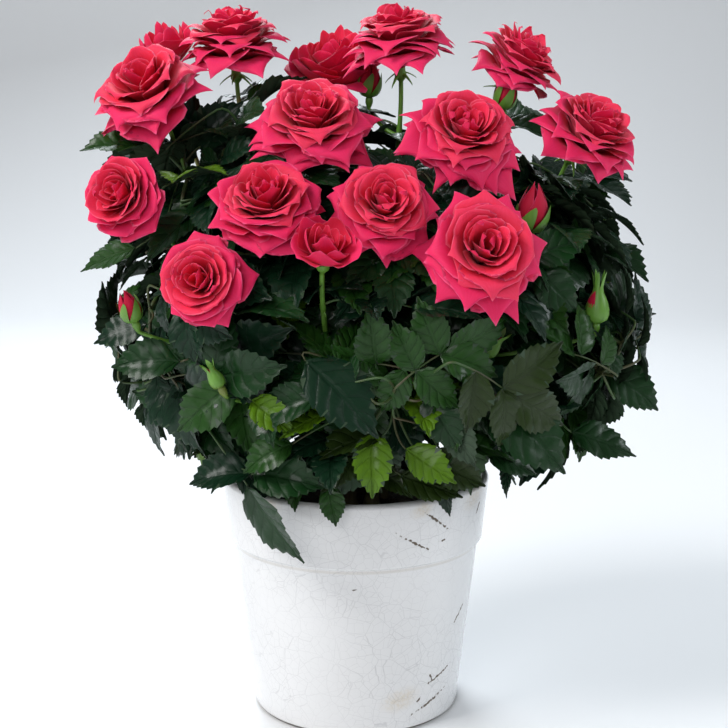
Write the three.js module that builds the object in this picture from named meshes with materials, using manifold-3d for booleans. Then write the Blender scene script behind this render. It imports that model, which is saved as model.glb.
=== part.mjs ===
// A potted patio rose in full bloom. A white glazed outer pot holds a dark
// nursery pot with its soil. Six woody canes rise from the soil, each bloom
// stands on a flower shoot of its own, and nine masses of leaves fill the crown
// between them.
//
// Millimetres, +Z up. The origin is the centre of the pot's flat underside,
// and the side seen first looks along -Y.

import * as THREE from 'three';
import { mergeVertices } from 'three/addons/utils/BufferGeometryUtils.js';
import Module from 'manifold-3d';

const wasm = await Module();
wasm.setup();

// Clearance between neighbouring pieces
const gap = 0.3;

// Outer pot: a tapering cup with a deep band round its rim
const potHeight = 138;
const potRimRadius = 77.5;
const potBandHeight = 39;
const potBandFootRadius = 75.2;
const potShoulderDrop = 2.4;
const potShoulderRadius = 71.5;
const potBaseRadius = 60.3;
const potBaseRound = 2;
const potWall = 5.5;
const potFloor = 9;
const potSides = 36;

// Nursery pot inside it, with a turned-out rim
const growPotTop = 131;
const growPotRimRadius = 69.8;
const growPotRimHeight = 8;
const growPotTopRadius = 66.8;
const growPotBaseRadius = 52;
const growPotWall = 1.6;
const growPotSides = 24;

// Soil inside the nursery pot, a little narrower at its top
const soilTop = 121;
const soilSetback = 1;

// Canes: where each leaves the soil and where its tip ends, as an azimuth in
// degrees (0 is +X, -90 is the front) and distances from the pot's axis
const caneAzimuths = [-152, -104, -52, 8, 78, 152];
const caneFootReach = 15;
const caneTipReach = 50;
const caneTipHeight = 236;
const caneBelly = 0.35;
const caneBellyRise = 20;
const caneFlareRadius = 5.4;
const caneFootRadius = 3.9;
const caneTipRadius = 2.3;
const caneFlareHeight = 7;
const caneSides = 7;
const caneSteps = 4;

// Flower shoots: slim green stems that end in the round hip under a bloom
const shootFootRadius = 1.9;
const shootNeckRadius = 1.35;
const hipRadius = 3.4;
const hipTopRadius = 2.89;
const hipLength = 6;
const hipWidest = 0.45;
const shootSides = 5;
const shootSteps = 4;

// Where along its cane the lowest and the highest shoot leaves it, how far it
// turns away from the cane, and how it swings up under its bloom
const shootFirst = 0.3;
const shootLast = 0.76;
const shootSpread = 0.5;
const shootLead = 0.35;
const shootSwing = 0.3;
const shootUpright = 0.35;

// Blooms: the middle of each, its width, the way its heart faces (yaw from the
// front toward +X, pitch above level), how cupped it still is, and its cane
const blooms = [
  { at: [-111, -35, 356], width: 70, yaw: -30, pitch: 48, cup: 0, cane: 1 },
  { at: [-110, 28, 382], width: 32, yaw: -60, pitch: 76, cup: 1, cane: 6 },
  { at: [-69, 10, 385], width: 65, yaw: -20, pitch: 80, cup: 0, cane: 6 },
  { at: [-12, 24, 372], width: 54, yaw: 0, pitch: 66, cup: 0.6, cane: 6 },
  { at: [24, -10, 385], width: 65, yaw: -12, pitch: 76, cup: 0, cane: 5 },
  { at: [-21, -66, 339], width: 67, yaw: 0, pitch: 52, cup: 0, cane: 2 },
  { at: [-120, -72, 302], width: 46, yaw: -26, pitch: 18, cup: 0.3, cane: 1 },
  { at: [-44, -100, 300], width: 58, yaw: -2, pitch: 50, cup: 0.2, cane: 2 },
  { at: [-75, -112, 262], width: 49, yaw: -14, pitch: 18, cup: 0.2, cane: 1 },
  { at: [-14, -120, 280], width: 31, yaw: 8, pitch: 46, cup: 0.9, cane: 2 },
  { at: [15, -98, 298], width: 57, yaw: 6, pitch: 32, cup: 0.1, cane: 3 },
  { at: [56, -72, 333], width: 65, yaw: 10, pitch: 42, cup: 0, cane: 3 },
  { at: [63, -115, 277], width: 66, yaw: 8, pitch: 27, cup: 0, cane: 3 },
  { at: [92, 4, 373], width: 58, yaw: 62, pitch: 56, cup: 0.1, cane: 4 },
  { at: [128, -28, 335], width: 62, yaw: 48, pitch: 50, cup: 0.1, cane: 4 },
  { at: [-98, 66, 284], width: 58, yaw: -130, pitch: 46, cup: 0, cane: 6 },
  { at: [-34, 104, 268], width: 52, yaw: -168, pitch: 34, cup: 0.2, cane: 5 },
  { at: [34, 92, 304], width: 60, yaw: 166, pitch: 48, cup: 0, cane: 5 },
  { at: [94, 78, 272], width: 54, yaw: 132, pitch: 40, cup: 0.2, cane: 4 },
];
const petalsPerTier = 5;
const petalNotch = 0.8;
const bloomSeatRadius = 3.6;

// An open bloom's height as a share of its width, what a closed one has more,
// and how far the petals of a closed one rise toward the rim of its cup
const openHeight = 0.56;
const cupHeight = 0.3;
const cupRim = 0.82;
const cupRise = 0.8;

// The crown of leaves: an egg-shaped space that its leaf tips reach, deeper
// below its widest level than above it
const crownCentre = new THREE.Vector3(12, 0, 238);
const crownRadii = new THREE.Vector3(150, 118, 100);
const crownDrop = 128;
const crownSlack = 1.02;
const outlineSlack = 0.05;

// Masses of leaves: five low ones round the foot of the crown, on the sides of
// their canes, and four high ones on the tips of theirs. The heart of each
// lies at an azimuth, a share of the crown's radii and a height.
const lowMasses = [
  { place: 'left', azimuth: -155, cane: 1 },
  { place: 'front', azimuth: -82, cane: 2 },
  { place: 'right', azimuth: -10, cane: 4 },
  { place: 'back_right', azimuth: 62, cane: 5 },
  { place: 'back_left', azimuth: 134, cane: 6 },
];
const highMasses = [
  { place: 'left', azimuth: -150, cane: 1 },
  { place: 'front', azimuth: -62, cane: 3 },
  { place: 'right', azimuth: 12, cane: 4 },
  { place: 'back', azimuth: 106, cane: 5 },
];
const lowHeart = { share: 0.52, height: 186, stem: 0.2, lift: 16, seed: 211, step: 17 };
const highHeart = { share: 0.34, height: 274, stem: 0.99, lift: 6, seed: 929, step: 23 };
const massGap = 0.6;

// Stems and twigs of the masses, all three-sided. A stem sways more at each try
// until it passes the flower shoots. New growth joins a twig at its nodes.
const stemRadii = [2.6, 2.2, 1.9];
const stemSway = 3;
const stemSwayStep = 0.3;
const stemBelly = [-4, 8];
const stemTries = 120;
const twigRadii = [1.8, 1.6, 1.3];
const twigSetback = 16;
const twigBow = 4;
const twigRise = [-2, 6];
const twigNodes = [0.2, 0.4, 0.6, 0.8, 0.94];

// Places for leaves over the crown and over a smaller crown inside it, from
// the top of the crown down to the level of the pot's rim
const crownLayers = [{ places: 96, size: 1 }, { places: 32, size: 0.66 }];
const crownTop = 0.98;
const crownSpan = 1.68;

// A leaf: five leaflets on a stalk, two pairs and one at the end
const stalkRadius = 1.2;
const stalkLongest = 34;
const leafReach = 46;
const leafEndStalk = 8;
const leafletLength = 43;
const leafletWidth = 0.62;
const leafletWidest = 0.44;
const leafletFold = 0.09;
const leafletTipDrop = 0.06;
const leafletThickness = 0.9;
const leafletFoot = 4;
const leafletPairs = [
  { along: 0.42, size: 0.78, spread: 74 },
  { along: 1, size: 0.94, spread: 68 },
];

// How a leaf lies: how far its face turns up from the crown's surface, how it
// droops and how high its base starts for that, how much of its end leaflet
// lies past its place, and how far it is turned and sunk where its first place
// has no room
const leafFaceUp = 0.5;
const leafDroop = 0.3;
const leafLift = 5.5;
const leafOverhang = 0.45;
const leafRise = [-0.05, 0.2];
const leafScale = [0.85, 1.05];
const leafTurnStep = 6;
const leafTurnMost = 150;
const leafDepth = 45;
const leafTries = 60;
const leafletSpacing = 11;
const leafletsLeast = 3;

// Clearance of twigs and leaves from the pot and the blooms
const potClearance = 1.2;
const bloomSwell = 1.05;

// Single leaves that draw the crown's outline, each by the place of its tip
const outlineTips = [
  [-141, -20, 324], [-140, -50, 257], [-126, -60, 203], [-109, -70, 180],
  [-88, -72, 160], [168, -20, 234], [168, -40, 179], [150, -55, 159],
  [108, -85, 157], [150, 5, 290], [-22, -100, 150], [12, -104, 147],
  [-33, -112, 184], [-58, 98, 152], [62, 100, 154], [138, 52, 176],
  [-27, -98, 116], [-80, -74, 146], [34, -96, 148], [66, -78, 146],
];

// Buds on leafy twigs, by their middle, with their length. The profile is the
// share of the length and of the girth at it.
const buds = [
  { at: [89, -92, 300], length: 26 },
  { at: [130, -62, 250], length: 22 },
  { at: [-116, -88, 246], length: 16 },
  { at: [80, -22, 346], length: 18 },
  { at: [9, 14, 352], length: 20 },
];
const budWidth = 0.52;
const budProfile = [[0, 0.35], [0.3, 1], [0.65, 0.8], [1, 0.12]];
const budSides = 5;
const budUpright = 0.6;

const up = new THREE.Vector3(0, 0, 1);
const degrees = THREE.MathUtils.degToRad;

function finish(color, roughness) {
  return new THREE.MeshStandardMaterial({ color, roughness, metalness: 0 });
}

const glaze = finish(0xefede6, 0.25);
const nurseryPlastic = finish(0x1d2028, 0.55);
const soilBrown = finish(0x2e2119, 0.95);
const caneBark = finish(0x5b6a35, 0.7);
const shootGreen = finish(0x5d8a3c, 0.55);
const petalRed = finish(0xd7204f, 0.6);
const leafGreen = finish(0x17351f, 0.35);

// Numbers that look random and are the same on every run
function seeded(seed) {
  let state = seed;
  return (low, high) => {
    state = (state * 48271) % 2147483647;
    return low + (high - low) * state / 2147483647;
  };
}

function mix(from, to, share) {
  return from.clone().lerp(to, share);
}

function towards(azimuth, reach, height) {
  const angle = degrees(azimuth);
  return new THREE.Vector3(Math.cos(angle) * reach, Math.sin(angle) * reach, height);
}

// A closed skin over rings of points that all have the same count, with a
// flat fan over its first and its last ring
function skin(rings) {
  const count = rings[0].length;
  const position = rings.flat().flatMap((point) => point.toArray());
  const index = [];
  const last = (rings.length - 1) * count;
  for (let ring = 0; ring < rings.length - 1; ring++) {
    for (let side = 0; side < count; side++) {
      const next = (side + 1) % count;
      const low = ring * count;
      const high = low + count;
      index.push(low + side, low + next, high + next);
      index.push(low + side, high + next, high + side);
    }
  }
  for (let side = 1; side < count - 1; side++) {
    index.push(0, side + 1, side);
    index.push(last, last + side, last + side + 1);
  }
  return { position, index };
}

// A limb with flat ends along a row of points, with a radius at each point
function limb(points, radii, sides) {
  const rings = [];
  const along = points[1].clone().sub(points[0]).normalize();
  const across = new THREE.Vector3(1, 0, 0);
  if (Math.abs(along.x) > 0.8) across.set(0, 1, 0);
  points.forEach((point, step) => {
    const before = points[Math.max(step - 1, 0)];
    const after = points[Math.min(step + 1, points.length - 1)];
    along.subVectors(after, before).normalize();
    across.addScaledVector(along, -across.dot(along)).normalize();
    const third = new THREE.Vector3().crossVectors(along, across);
    const ring = [];
    for (let side = 0; side < sides; side++) {
      const angle = side / sides * 2 * Math.PI;
      ring.push(point.clone()
        .addScaledVector(across, Math.cos(angle) * radii[step])
        .addScaledVector(third, Math.sin(angle) * radii[step]));
    }
    rings.push(ring);
  });
  return skin(rings);
}

function geometryOf({ position, index }) {
  const geometry = new THREE.BufferGeometry();
  geometry.setAttribute('position', new THREE.Float32BufferAttribute(position, 3));
  geometry.setIndex(index);
  geometry.computeVertexNormals();
  return geometry;
}

function solidOf({ position, index }) {
  return new wasm.Manifold(new wasm.Mesh({
    numProp: 3,
    vertProperties: new Float32Array(position),
    triVerts: new Uint32Array(index),
  }));
}

function solidOfGeometry(geometry) {
  return solidOf({
    position: geometry.attributes.position.array,
    index: geometry.index.array,
  });
}

function geometryOfSolid(solid) {
  const { vertProperties, triVerts } = solid.getMesh();
  return geometryOf({ position: Array.from(vertProperties), index: Array.from(triVerts) });
}

function pieceOf(name, geometry, material) {
  const mesh = new THREE.Mesh(geometry, material);
  mesh.name = name;
  return mesh;
}

function arc(radius, centreX, centreY, from, to, steps) {
  const points = [];
  for (let step = 0; step <= steps; step++) {
    const angle = degrees(from + (to - from) * step / steps);
    points.push([centreX + radius * Math.cos(angle), centreY + radius * Math.sin(angle)]);
  }
  return points;
}

// A closed shape turned round +Z from [radius, height] pairs
function turned(profile, sides) {
  const points = profile.map(([radius, height]) => new THREE.Vector2(radius, height));
  const geometry = new THREE.LatheGeometry(points, sides);
  geometry.deleteAttribute('normal');
  geometry.deleteAttribute('uv');
  geometry.rotateX(Math.PI / 2);
  const closed = mergeVertices(geometry, 1e-3);
  closed.computeVertexNormals();
  return closed;
}

function outerPot() {
  const lip = potWall / 2;
  const bandFoot = potHeight - potBandHeight;
  const profile = [
    [0, 0],
    ...arc(potBaseRound, potBaseRadius - potBaseRound, potBaseRound, -90, 0, 2),
    [potShoulderRadius, bandFoot - potShoulderDrop],
    [potBandFootRadius, bandFoot],
    ...arc(lip, potRimRadius - lip, potHeight - lip, 0, 180, 4),
    [potShoulderRadius - potWall, bandFoot - potShoulderDrop],
    [potBaseRadius - potWall, potFloor],
    [0, potFloor],
  ];
  return pieceOf('pot', turned(profile, potSides), glaze);
}

function nurseryPot() {
  const base = potFloor + gap;
  const rimFoot = growPotTop - growPotRimHeight;
  const profile = [
    [0, base],
    [growPotBaseRadius, base],
    [growPotTopRadius, rimFoot],
    [growPotRimRadius, rimFoot],
    [growPotRimRadius, growPotTop],
    [growPotTopRadius - growPotWall, growPotTop],
    [growPotTopRadius - growPotWall, rimFoot - growPotWall],
    [growPotBaseRadius - growPotWall, base + growPotWall],
    [0, base + growPotWall],
  ];
  return pieceOf('grow_pot', turned(profile, growPotSides), nurseryPlastic);
}

function soil() {
  const base = potFloor + gap + growPotWall + gap;
  const clear = growPotWall + 2 * gap;
  const profile = [
    [0, base],
    [growPotBaseRadius - clear, base],
    [growPotTopRadius - clear - soilSetback, soilTop],
    [0, soilTop],
  ];
  return pieceOf('soil', turned(profile, growPotSides), soilBrown);
}

// Cane: bowed outward, with a flare where it leaves the soil
function canePath(azimuth) {
  const foot = towards(azimuth, caneFootReach, soilTop + gap);
  const neck = foot.clone().addScaledVector(up, caneFlareHeight);
  const tip = towards(azimuth, caneTipReach, caneTipHeight);
  const belly = towards(azimuth, caneFootReach + caneBelly * (caneTipReach - caneFootReach),
    (neck.z + tip.z) / 2 + caneBellyRise);
  const curve = new THREE.QuadraticBezierCurve3(neck, belly, tip);
  const points = [foot, neck];
  const radii = [caneFlareRadius, caneFootRadius];
  for (let step = 1; step <= caneSteps; step++) {
    const share = step / caneSteps;
    points.push(curve.getPoint(share));
    radii.push(caneFootRadius + (caneTipRadius - caneFootRadius) * share);
  }
  return { curve, points, radii };
}

const canes = caneAzimuths.map(canePath);

// The same cane made wider by the clearance, to cut what grows out of it
const caneCutters = canes.map(({ points, radii }) => {
  const bevel = 1 / Math.cos(Math.PI / caneSides);
  const wide = radii.map((radius) => (radius + gap) * bevel);
  const ends = points.map((point) => point.clone());
  ends[0].z -= gap;
  ends[ends.length - 1].z += gap;
  return solidOf(limb(ends, wide, caneSides));
});

function heading(yaw, pitch) {
  const level = Math.cos(degrees(pitch));
  return new THREE.Vector3(
    Math.sin(degrees(yaw)) * level,
    -Math.cos(degrees(yaw)) * level,
    Math.sin(degrees(pitch)),
  );
}

// Each bloom with its height and the seat under it
const flowers = blooms.map(({ at, width, yaw, pitch, cup, cane }) => {
  const middle = new THREE.Vector3(...at);
  const axis = heading(yaw, pitch);
  const height = width * (openHeight + cupHeight * cup);
  const seat = middle.clone().addScaledVector(axis, -height / 2);
  return { middle, axis, height, width, cup, seat, cane: cane - 1 };
});

// The lower a bloom is, the lower its shoot leaves the cane
flowers.forEach((flower) => {
  const mates = flowers.filter((other) => other.cane === flower.cane);
  const lower = mates.filter((other) => other.seat.z < flower.seat.z).length;
  const share = mates.length > 1 ? lower / (mates.length - 1) : 0.5;
  const onCane = shootFirst + (shootLast - shootFirst) * share;
  const leaves = canes[flower.cane].curve.getPoint(onCane);
  const caneWay = canes[flower.cane].curve.getTangent(onCane);
  const end = flower.seat.clone().addScaledVector(flower.axis, -gap);
  const hipFoot = end.clone().addScaledVector(flower.axis, -hipLength);
  const length = leaves.distanceTo(hipFoot);
  const aside = hipFoot.clone().sub(leaves);
  aside.addScaledVector(caneWay, -aside.dot(caneWay)).normalize();
  const curve = new THREE.CubicBezierCurve3(
    leaves,
    leaves.clone().addScaledVector(mix(caneWay, aside, shootSpread), length * shootLead),
    hipFoot.clone().addScaledVector(mix(flower.axis, up, shootUpright), -length * shootSwing),
    hipFoot,
  );
  flower.points = curve.getPoints(shootSteps);
  flower.radii = flower.points.map((_, step) => (
    shootFootRadius + (shootNeckRadius - shootFootRadius) * step / shootSteps));
  const widest = hipFoot.clone().addScaledVector(flower.axis, hipLength * hipWidest);
  flower.points.push(widest, end);
  flower.radii.push(hipRadius, hipTopRadius);
});

const shootBevel = Math.cos(Math.PI / shootSides);

function shoot(flower, number) {
  const whole = solidOf(limb(flower.points, flower.radii, shootSides));
  const cut = whole.subtract(caneCutters[flower.cane]);
  return pieceOf(`shoot_${number}`, geometryOfSolid(cut), shootGreen);
}

// Bloom: tiers of pointed petals, each tier turned by half a petal, from the
// wide outer one up to the heart. Each row is [radius, height, pointed].
function bloomGeometry({ width, height, cup }) {
  const radius = width / 2;
  const lift = (low) => low + (cupRim - low) * cup * cupRise;
  const profile = [
    [bloomSeatRadius / radius, 0, false],
    [0.46, 0.14, false],
    [1, lift(0.32), true],
    [0.62, lift(0.46), false],
    [0.8, lift(0.68), true],
    [0.42, lift(0.74), false],
    [0.46, 0.97, true],
    [0.16, 0.94, false],
  ];
  const corners = petalsPerTier * 2;
  let tier = 0;
  const rings = profile.map(([reach, rise, pointed]) => {
    const ring = [];
    for (let corner = 0; corner < corners; corner++) {
      const notched = pointed && (corner + tier) % 2 === 1;
      const out = radius * reach * (notched ? petalNotch : 1);
      const angle = corner / corners * 2 * Math.PI;
      ring.push(new THREE.Vector3(Math.cos(angle) * out, Math.sin(angle) * out, rise * height));
    }
    if (pointed) tier += 1;
    return ring;
  });
  return geometryOf(skin(rings));
}

function bloom(flower, number) {
  const piece = pieceOf(`bloom_${number}`, bloomGeometry(flower), petalRed);
  piece.position.copy(flower.seat);
  piece.quaternion.setFromUnitVectors(up, flower.axis);
  return piece;
}

function massFrom(level, { place, azimuth, cane }, order, shared) {
  const { share, height, stem, lift } = shared;
  const seed = shared.seed + shared.step * order;
  const out = towards(azimuth, 1, 0);
  const heart = new THREE.Vector3(
    crownCentre.x + out.x * crownRadii.x * share,
    crownCentre.y + out.y * crownRadii.y * share,
    height,
  );
  const start = canes[cane - 1].curve.getPoint(stem);
  return { name: `leaves_${level}_${place}`, cane: cane - 1, heart, start, lift, seed };
}

const masses = [
  ...lowMasses.map((entry, order) => massFrom('low', entry, order, lowHeart)),
  ...highMasses.map((entry, order) => massFrom('high', entry, order, highHeart)),
];

function nearestMass(point) {
  const reaches = masses.map(({ heart }) => heart.distanceTo(point));
  return masses[reaches.indexOf(Math.min(...reaches))];
}

function insideOwnSpace(point, mass) {
  return masses.every((other) => {
    if (other === mass) return true;
    const apart = other.heart.clone().sub(mass.heart);
    const middle = mix(mass.heart, other.heart, 0.5);
    return point.clone().sub(middle).dot(apart.normalize()) < -massGap / 2;
  });
}

function crownReachAt(point) {
  const below = point.z < crownCentre.z;
  return new THREE.Vector3(crownRadii.x, crownRadii.y, below ? crownDrop : crownRadii.z);
}

// How far out a point lies, where 1 is on the crown's surface
function crownShare(point) {
  return point.clone().sub(crownCentre).divide(crownReachAt(point)).length();
}

// What twigs and leaves have to miss: the pot, the limbs and the blooms, each
// a little larger than it is
const shootsTaken = wasm.Manifold.union(flowers.map(({ points, radii }) => (
  solidOf(limb(points, radii.map((radius) => radius + gap / shootBevel), shootSides)))));
const bloomsTaken = flowers.map((flower) => {
  const swollen = bloomGeometry(flower);
  const half = flower.height / 2;
  swollen.translate(0, 0, -half).scale(bloomSwell, bloomSwell, bloomSwell);
  swollen.applyQuaternion(new THREE.Quaternion().setFromUnitVectors(up, flower.axis));
  swollen.translate(...flower.middle);
  return solidOfGeometry(swollen);
});
const potTaken = solidOfGeometry(turned([
  [0, -potClearance],
  [potRimRadius + potClearance, -potClearance],
  [potRimRadius + potClearance, potHeight + potClearance],
  [0, potHeight + potClearance],
], potSides));
const taken = wasm.Manifold.union([...caneCutters, shootsTaken, ...bloomsTaken, potTaken]);

function fits(solid, space) {
  return solid.intersect(space).isEmpty();
}

// Leaflet: the corners of a folded kite about its midrib. `left` is the corner
// on the left of someone who looks along it with the face up.
function leafletCorners(root, along, face, length) {
  const side = new THREE.Vector3().crossVectors(face, along).normalize();
  const place = (out, across, lift) => root.clone()
    .addScaledVector(along, out * length)
    .addScaledVector(side, across * length)
    .addScaledVector(face, lift);
  const half = leafletWidth / 2;
  return {
    left: place(leafletWidest, half, leafletFold * length),
    right: place(leafletWidest, -half, leafletFold * length),
    tip: place(1, 0, -leafletTipDrop * length),
    top: place(leafletWidest, 0, leafletThickness / 2),
    under: place(leafletWidest, 0, -leafletThickness / 2),
  };
}

// Leaf: a three-sided stalk from `foot`, two pairs of leaflets that grow out of
// its sides and one more that grows out of its end
function leaf(foot, base, along, face, scale) {
  const side = new THREE.Vector3().crossVectors(face, along).normalize();
  const onStalk = (out) => base.clone().addScaledVector(along, out)
    .addScaledVector(up, -leafDroop * out * out / (2 * leafReach));
  const square = (direction) => face.clone()
    .addScaledVector(direction, -face.dot(direction)).normalize();
  const outward = (spread, hand) => along.clone()
    .multiplyScalar(Math.cos(degrees(spread)))
    .addScaledVector(side, hand * Math.sin(degrees(spread)))
    .addScaledVector(up, -leafDroop * 0.5).normalize();

  const centres = [foot];
  const leaflets = [];
  leafletPairs.forEach(({ along: share, size, spread }) => {
    const start = share * leafReach * scale;
    const step = centres.length;
    centres.push(onStalk(start - leafletFoot), onStalk(start));
    [1, -1].forEach((hand) => {
      const out = outward(spread, hand);
      const root = onStalk(start - leafletFoot / 2);
      leaflets.push({ step, hand, ...leafletCorners(
        root, out, square(out), leafletLength * scale * size) });
    });
  });
  const out = outward(0, 1);
  const end = onStalk((leafReach + leafEndStalk) * scale);
  leaflets.push({ step: centres.length, hand: 0, ...leafletCorners(
    end, out, square(out), leafletLength * scale) });
  centres.push(end);

  const rings = centres.map((centre, step) => {
    const way = (step === 0 ? centres[1].clone().sub(foot) : along.clone()).normalize();
    const rise = square(way);
    const aside = new THREE.Vector3().crossVectors(rise, way);
    return [0, 120, 240].map((turn) => (
      centre.clone().addScaledVector(aside, Math.sin(degrees(turn)) * stalkRadius)
        .addScaledVector(rise, Math.cos(degrees(turn)) * stalkRadius)));
  });
  return { centres, rings, leaflets };
}

// The one closed skin of a leaf with the leaflets it keeps
function leafSolid({ rings }, leaflets) {
  const position = rings.flat().flatMap((point) => point.toArray());
  const index = [0, 1, 2];
  const end = rings.length - 1;
  const add = (point) => position.push(...point.toArray()) / 3 - 1;
  const fan = (middle, edge) => edge.forEach((corner, order) => (
    index.push(middle, corner, edge[(order + 1) % edge.length])));
  const quad = (a, b, c, d) => index.push(a, b, c, a, c, d);
  const grow = ({ left, right, tip, top, under }, upper, lower) => {
    const rim = [add(right), add(tip), add(left)];
    fan(add(top), [...upper, ...rim]);
    fan(add(under), [...lower, ...rim.reverse()]);
  };
  const at = (step, hand) => leaflets.find((entry) => (
    entry.step === step && entry.hand === hand));
  for (let step = 0; step < end; step++) {
    const [top, left, right] = [3 * step, 3 * step + 1, 3 * step + 2];
    const [topNext, leftNext, rightNext] = [top + 3, left + 3, right + 3];
    const onLeft = at(step, 1);
    const onRight = at(step, -1);
    quad(left, leftNext, rightNext, right);
    if (onLeft) grow(onLeft, [left, top, topNext, leftNext], [leftNext, left]);
    else quad(top, topNext, leftNext, left);
    if (onRight) grow(onRight, [rightNext, topNext, top, right], [right, rightNext]);
    else quad(topNext, top, right, rightNext);
  }
  const [top, left, right] = [3 * end, 3 * end + 1, 3 * end + 2];
  const last = at(end, 0);
  if (last) grow(last, [left, top, right], [right, left]);
  else index.push(top, right, left);
  return solidOf({ position, index });
}

// Which way the crown's surface faces near a point
function crownFacing(point) {
  const reach = crownReachAt(point);
  return point.clone().sub(crownCentre).divide(reach).divide(reach).normalize();
}

// A leaf lies along the crown like a shingle: its tip near the given place, its
// base toward the middle of the mass, turned aside a little more at each try
function leafLie(tip, mass, random, attempt, overhang) {
  const face = crownFacing(tip).addScaledVector(up, leafFaceUp).normalize();
  const along = tip.clone().sub(mass.hub);
  along.addScaledVector(face, -face.dot(along)).normalize();
  const turn = Math.min(attempt * leafTurnStep, leafTurnMost);
  along.applyAxisAngle(face, degrees(random(-turn, turn)));
  along.addScaledVector(face, random(...leafRise)).normalize();
  face.addScaledVector(along, -face.dot(along)).normalize();
  const scale = random(...leafScale);
  const length = (leafReach + leafEndStalk + leafletLength * overhang) * scale;
  const base = tip.clone()
    .addScaledVector(face, -random(0, 1) * Math.min(attempt, leafDepth))
    .addScaledVector(along, -length)
    .addScaledVector(up, leafLift);
  return { base, along, face, scale };
}

function leafletFits({ left, right, tip, top }, mass, slack) {
  const corners = [left, right, tip];
  return mass.middles.every((other) => other.distanceTo(top) > leafletSpacing)
    && corners.every((corner) => insideOwnSpace(corner, mass))
    && [left, right].every((corner) => crownShare(corner) < slack);
}

function limbSolid(points, radii) {
  return solidOf(limb(points, radii, 3));
}

// A twig or leaf stalk, or nothing where it has no room
function sprig(points, radii, mass) {
  const solid = limbSolid(points, radii);
  const own = points.every((point) => insideOwnSpace(point, mass));
  return own && fits(solid, taken) && fits(solid, mass.leaves) ? solid : null;
}

// A leaf or bud joins the nearest wood of its mass. Where that is too far for
// a stalk, a twig grows toward it first.
function joinWood(base, mass, random) {
  const reaches = mass.wood.map((node) => node.distanceTo(base));
  const reach = Math.min(...reaches);
  const foot = mass.wood[reaches.indexOf(reach)];
  if (reach < stalkLongest) return { foot, twigs: [], wood: [] };
  const end = mix(foot, base, 1 - twigSetback / reach);
  const bow = mix(foot, end, 0.5).add(new THREE.Vector3(
    random(-twigBow, twigBow), random(-twigBow, twigBow), random(...twigRise)));
  const twig = sprig([foot, bow, end], twigRadii, mass);
  const wood = twigNodes.map((share) => mix(bow, end, share));
  return { foot: wood[wood.length - 1], twigs: twig ? [twig] : null, wood };
}

// Stem of a mass: from its cane to its heart, past the flower shoots
function growStem(mass, random) {
  for (let attempt = 0; attempt < stemTries; attempt++) {
    const sway = stemSway + attempt * stemSwayStep;
    const heart = mass.heart.clone().add(new THREE.Vector3(
      random(-sway, sway), random(-sway, sway), random(-sway, sway)));
    const belly = mix(mass.start, heart, 0.5);
    belly.z -= random(...stemBelly);
    const curve = new THREE.QuadraticBezierCurve3(mass.start, belly, heart);
    const solid = limbSolid(curve.getPoints(2), stemRadii);
    const outside = curve.getPoints(8).slice(2);
    const outer = sprig(outside, outside.map(() => stemRadii[0]), mass);
    if (outer && fits(solid, shootsTaken)) return { curve, solid };
  }
  return null;
}

function budSolid(seat, axis, length) {
  const wide = length * budWidth / 2;
  const points = budProfile.map(([share]) => (
    seat.clone().addScaledVector(axis, share * length)));
  return solidOf(limb(points, budProfile.map(([, girth]) => girth * wide), budSides));
}

// Even places for leaves, on a golden spiral over each layer of the crown
const goldenTurn = Math.PI * (3 - Math.sqrt(5));
const crownPlaces = crownLayers.flatMap(({ places, size }) => (
  Array.from({ length: places }, (_, place) => {
    const height = crownTop - crownSpan * (place + 0.5) / places;
    const ring = Math.sqrt(1 - height * height);
    const turn = place * goldenTurn;
    const point = new THREE.Vector3(ring * Math.cos(turn), ring * Math.sin(turn), height);
    const reach = crownReachAt(point.clone().add(crownCentre));
    return point.multiply(reach).multiplyScalar(size).add(crownCentre);
  })
));

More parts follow.
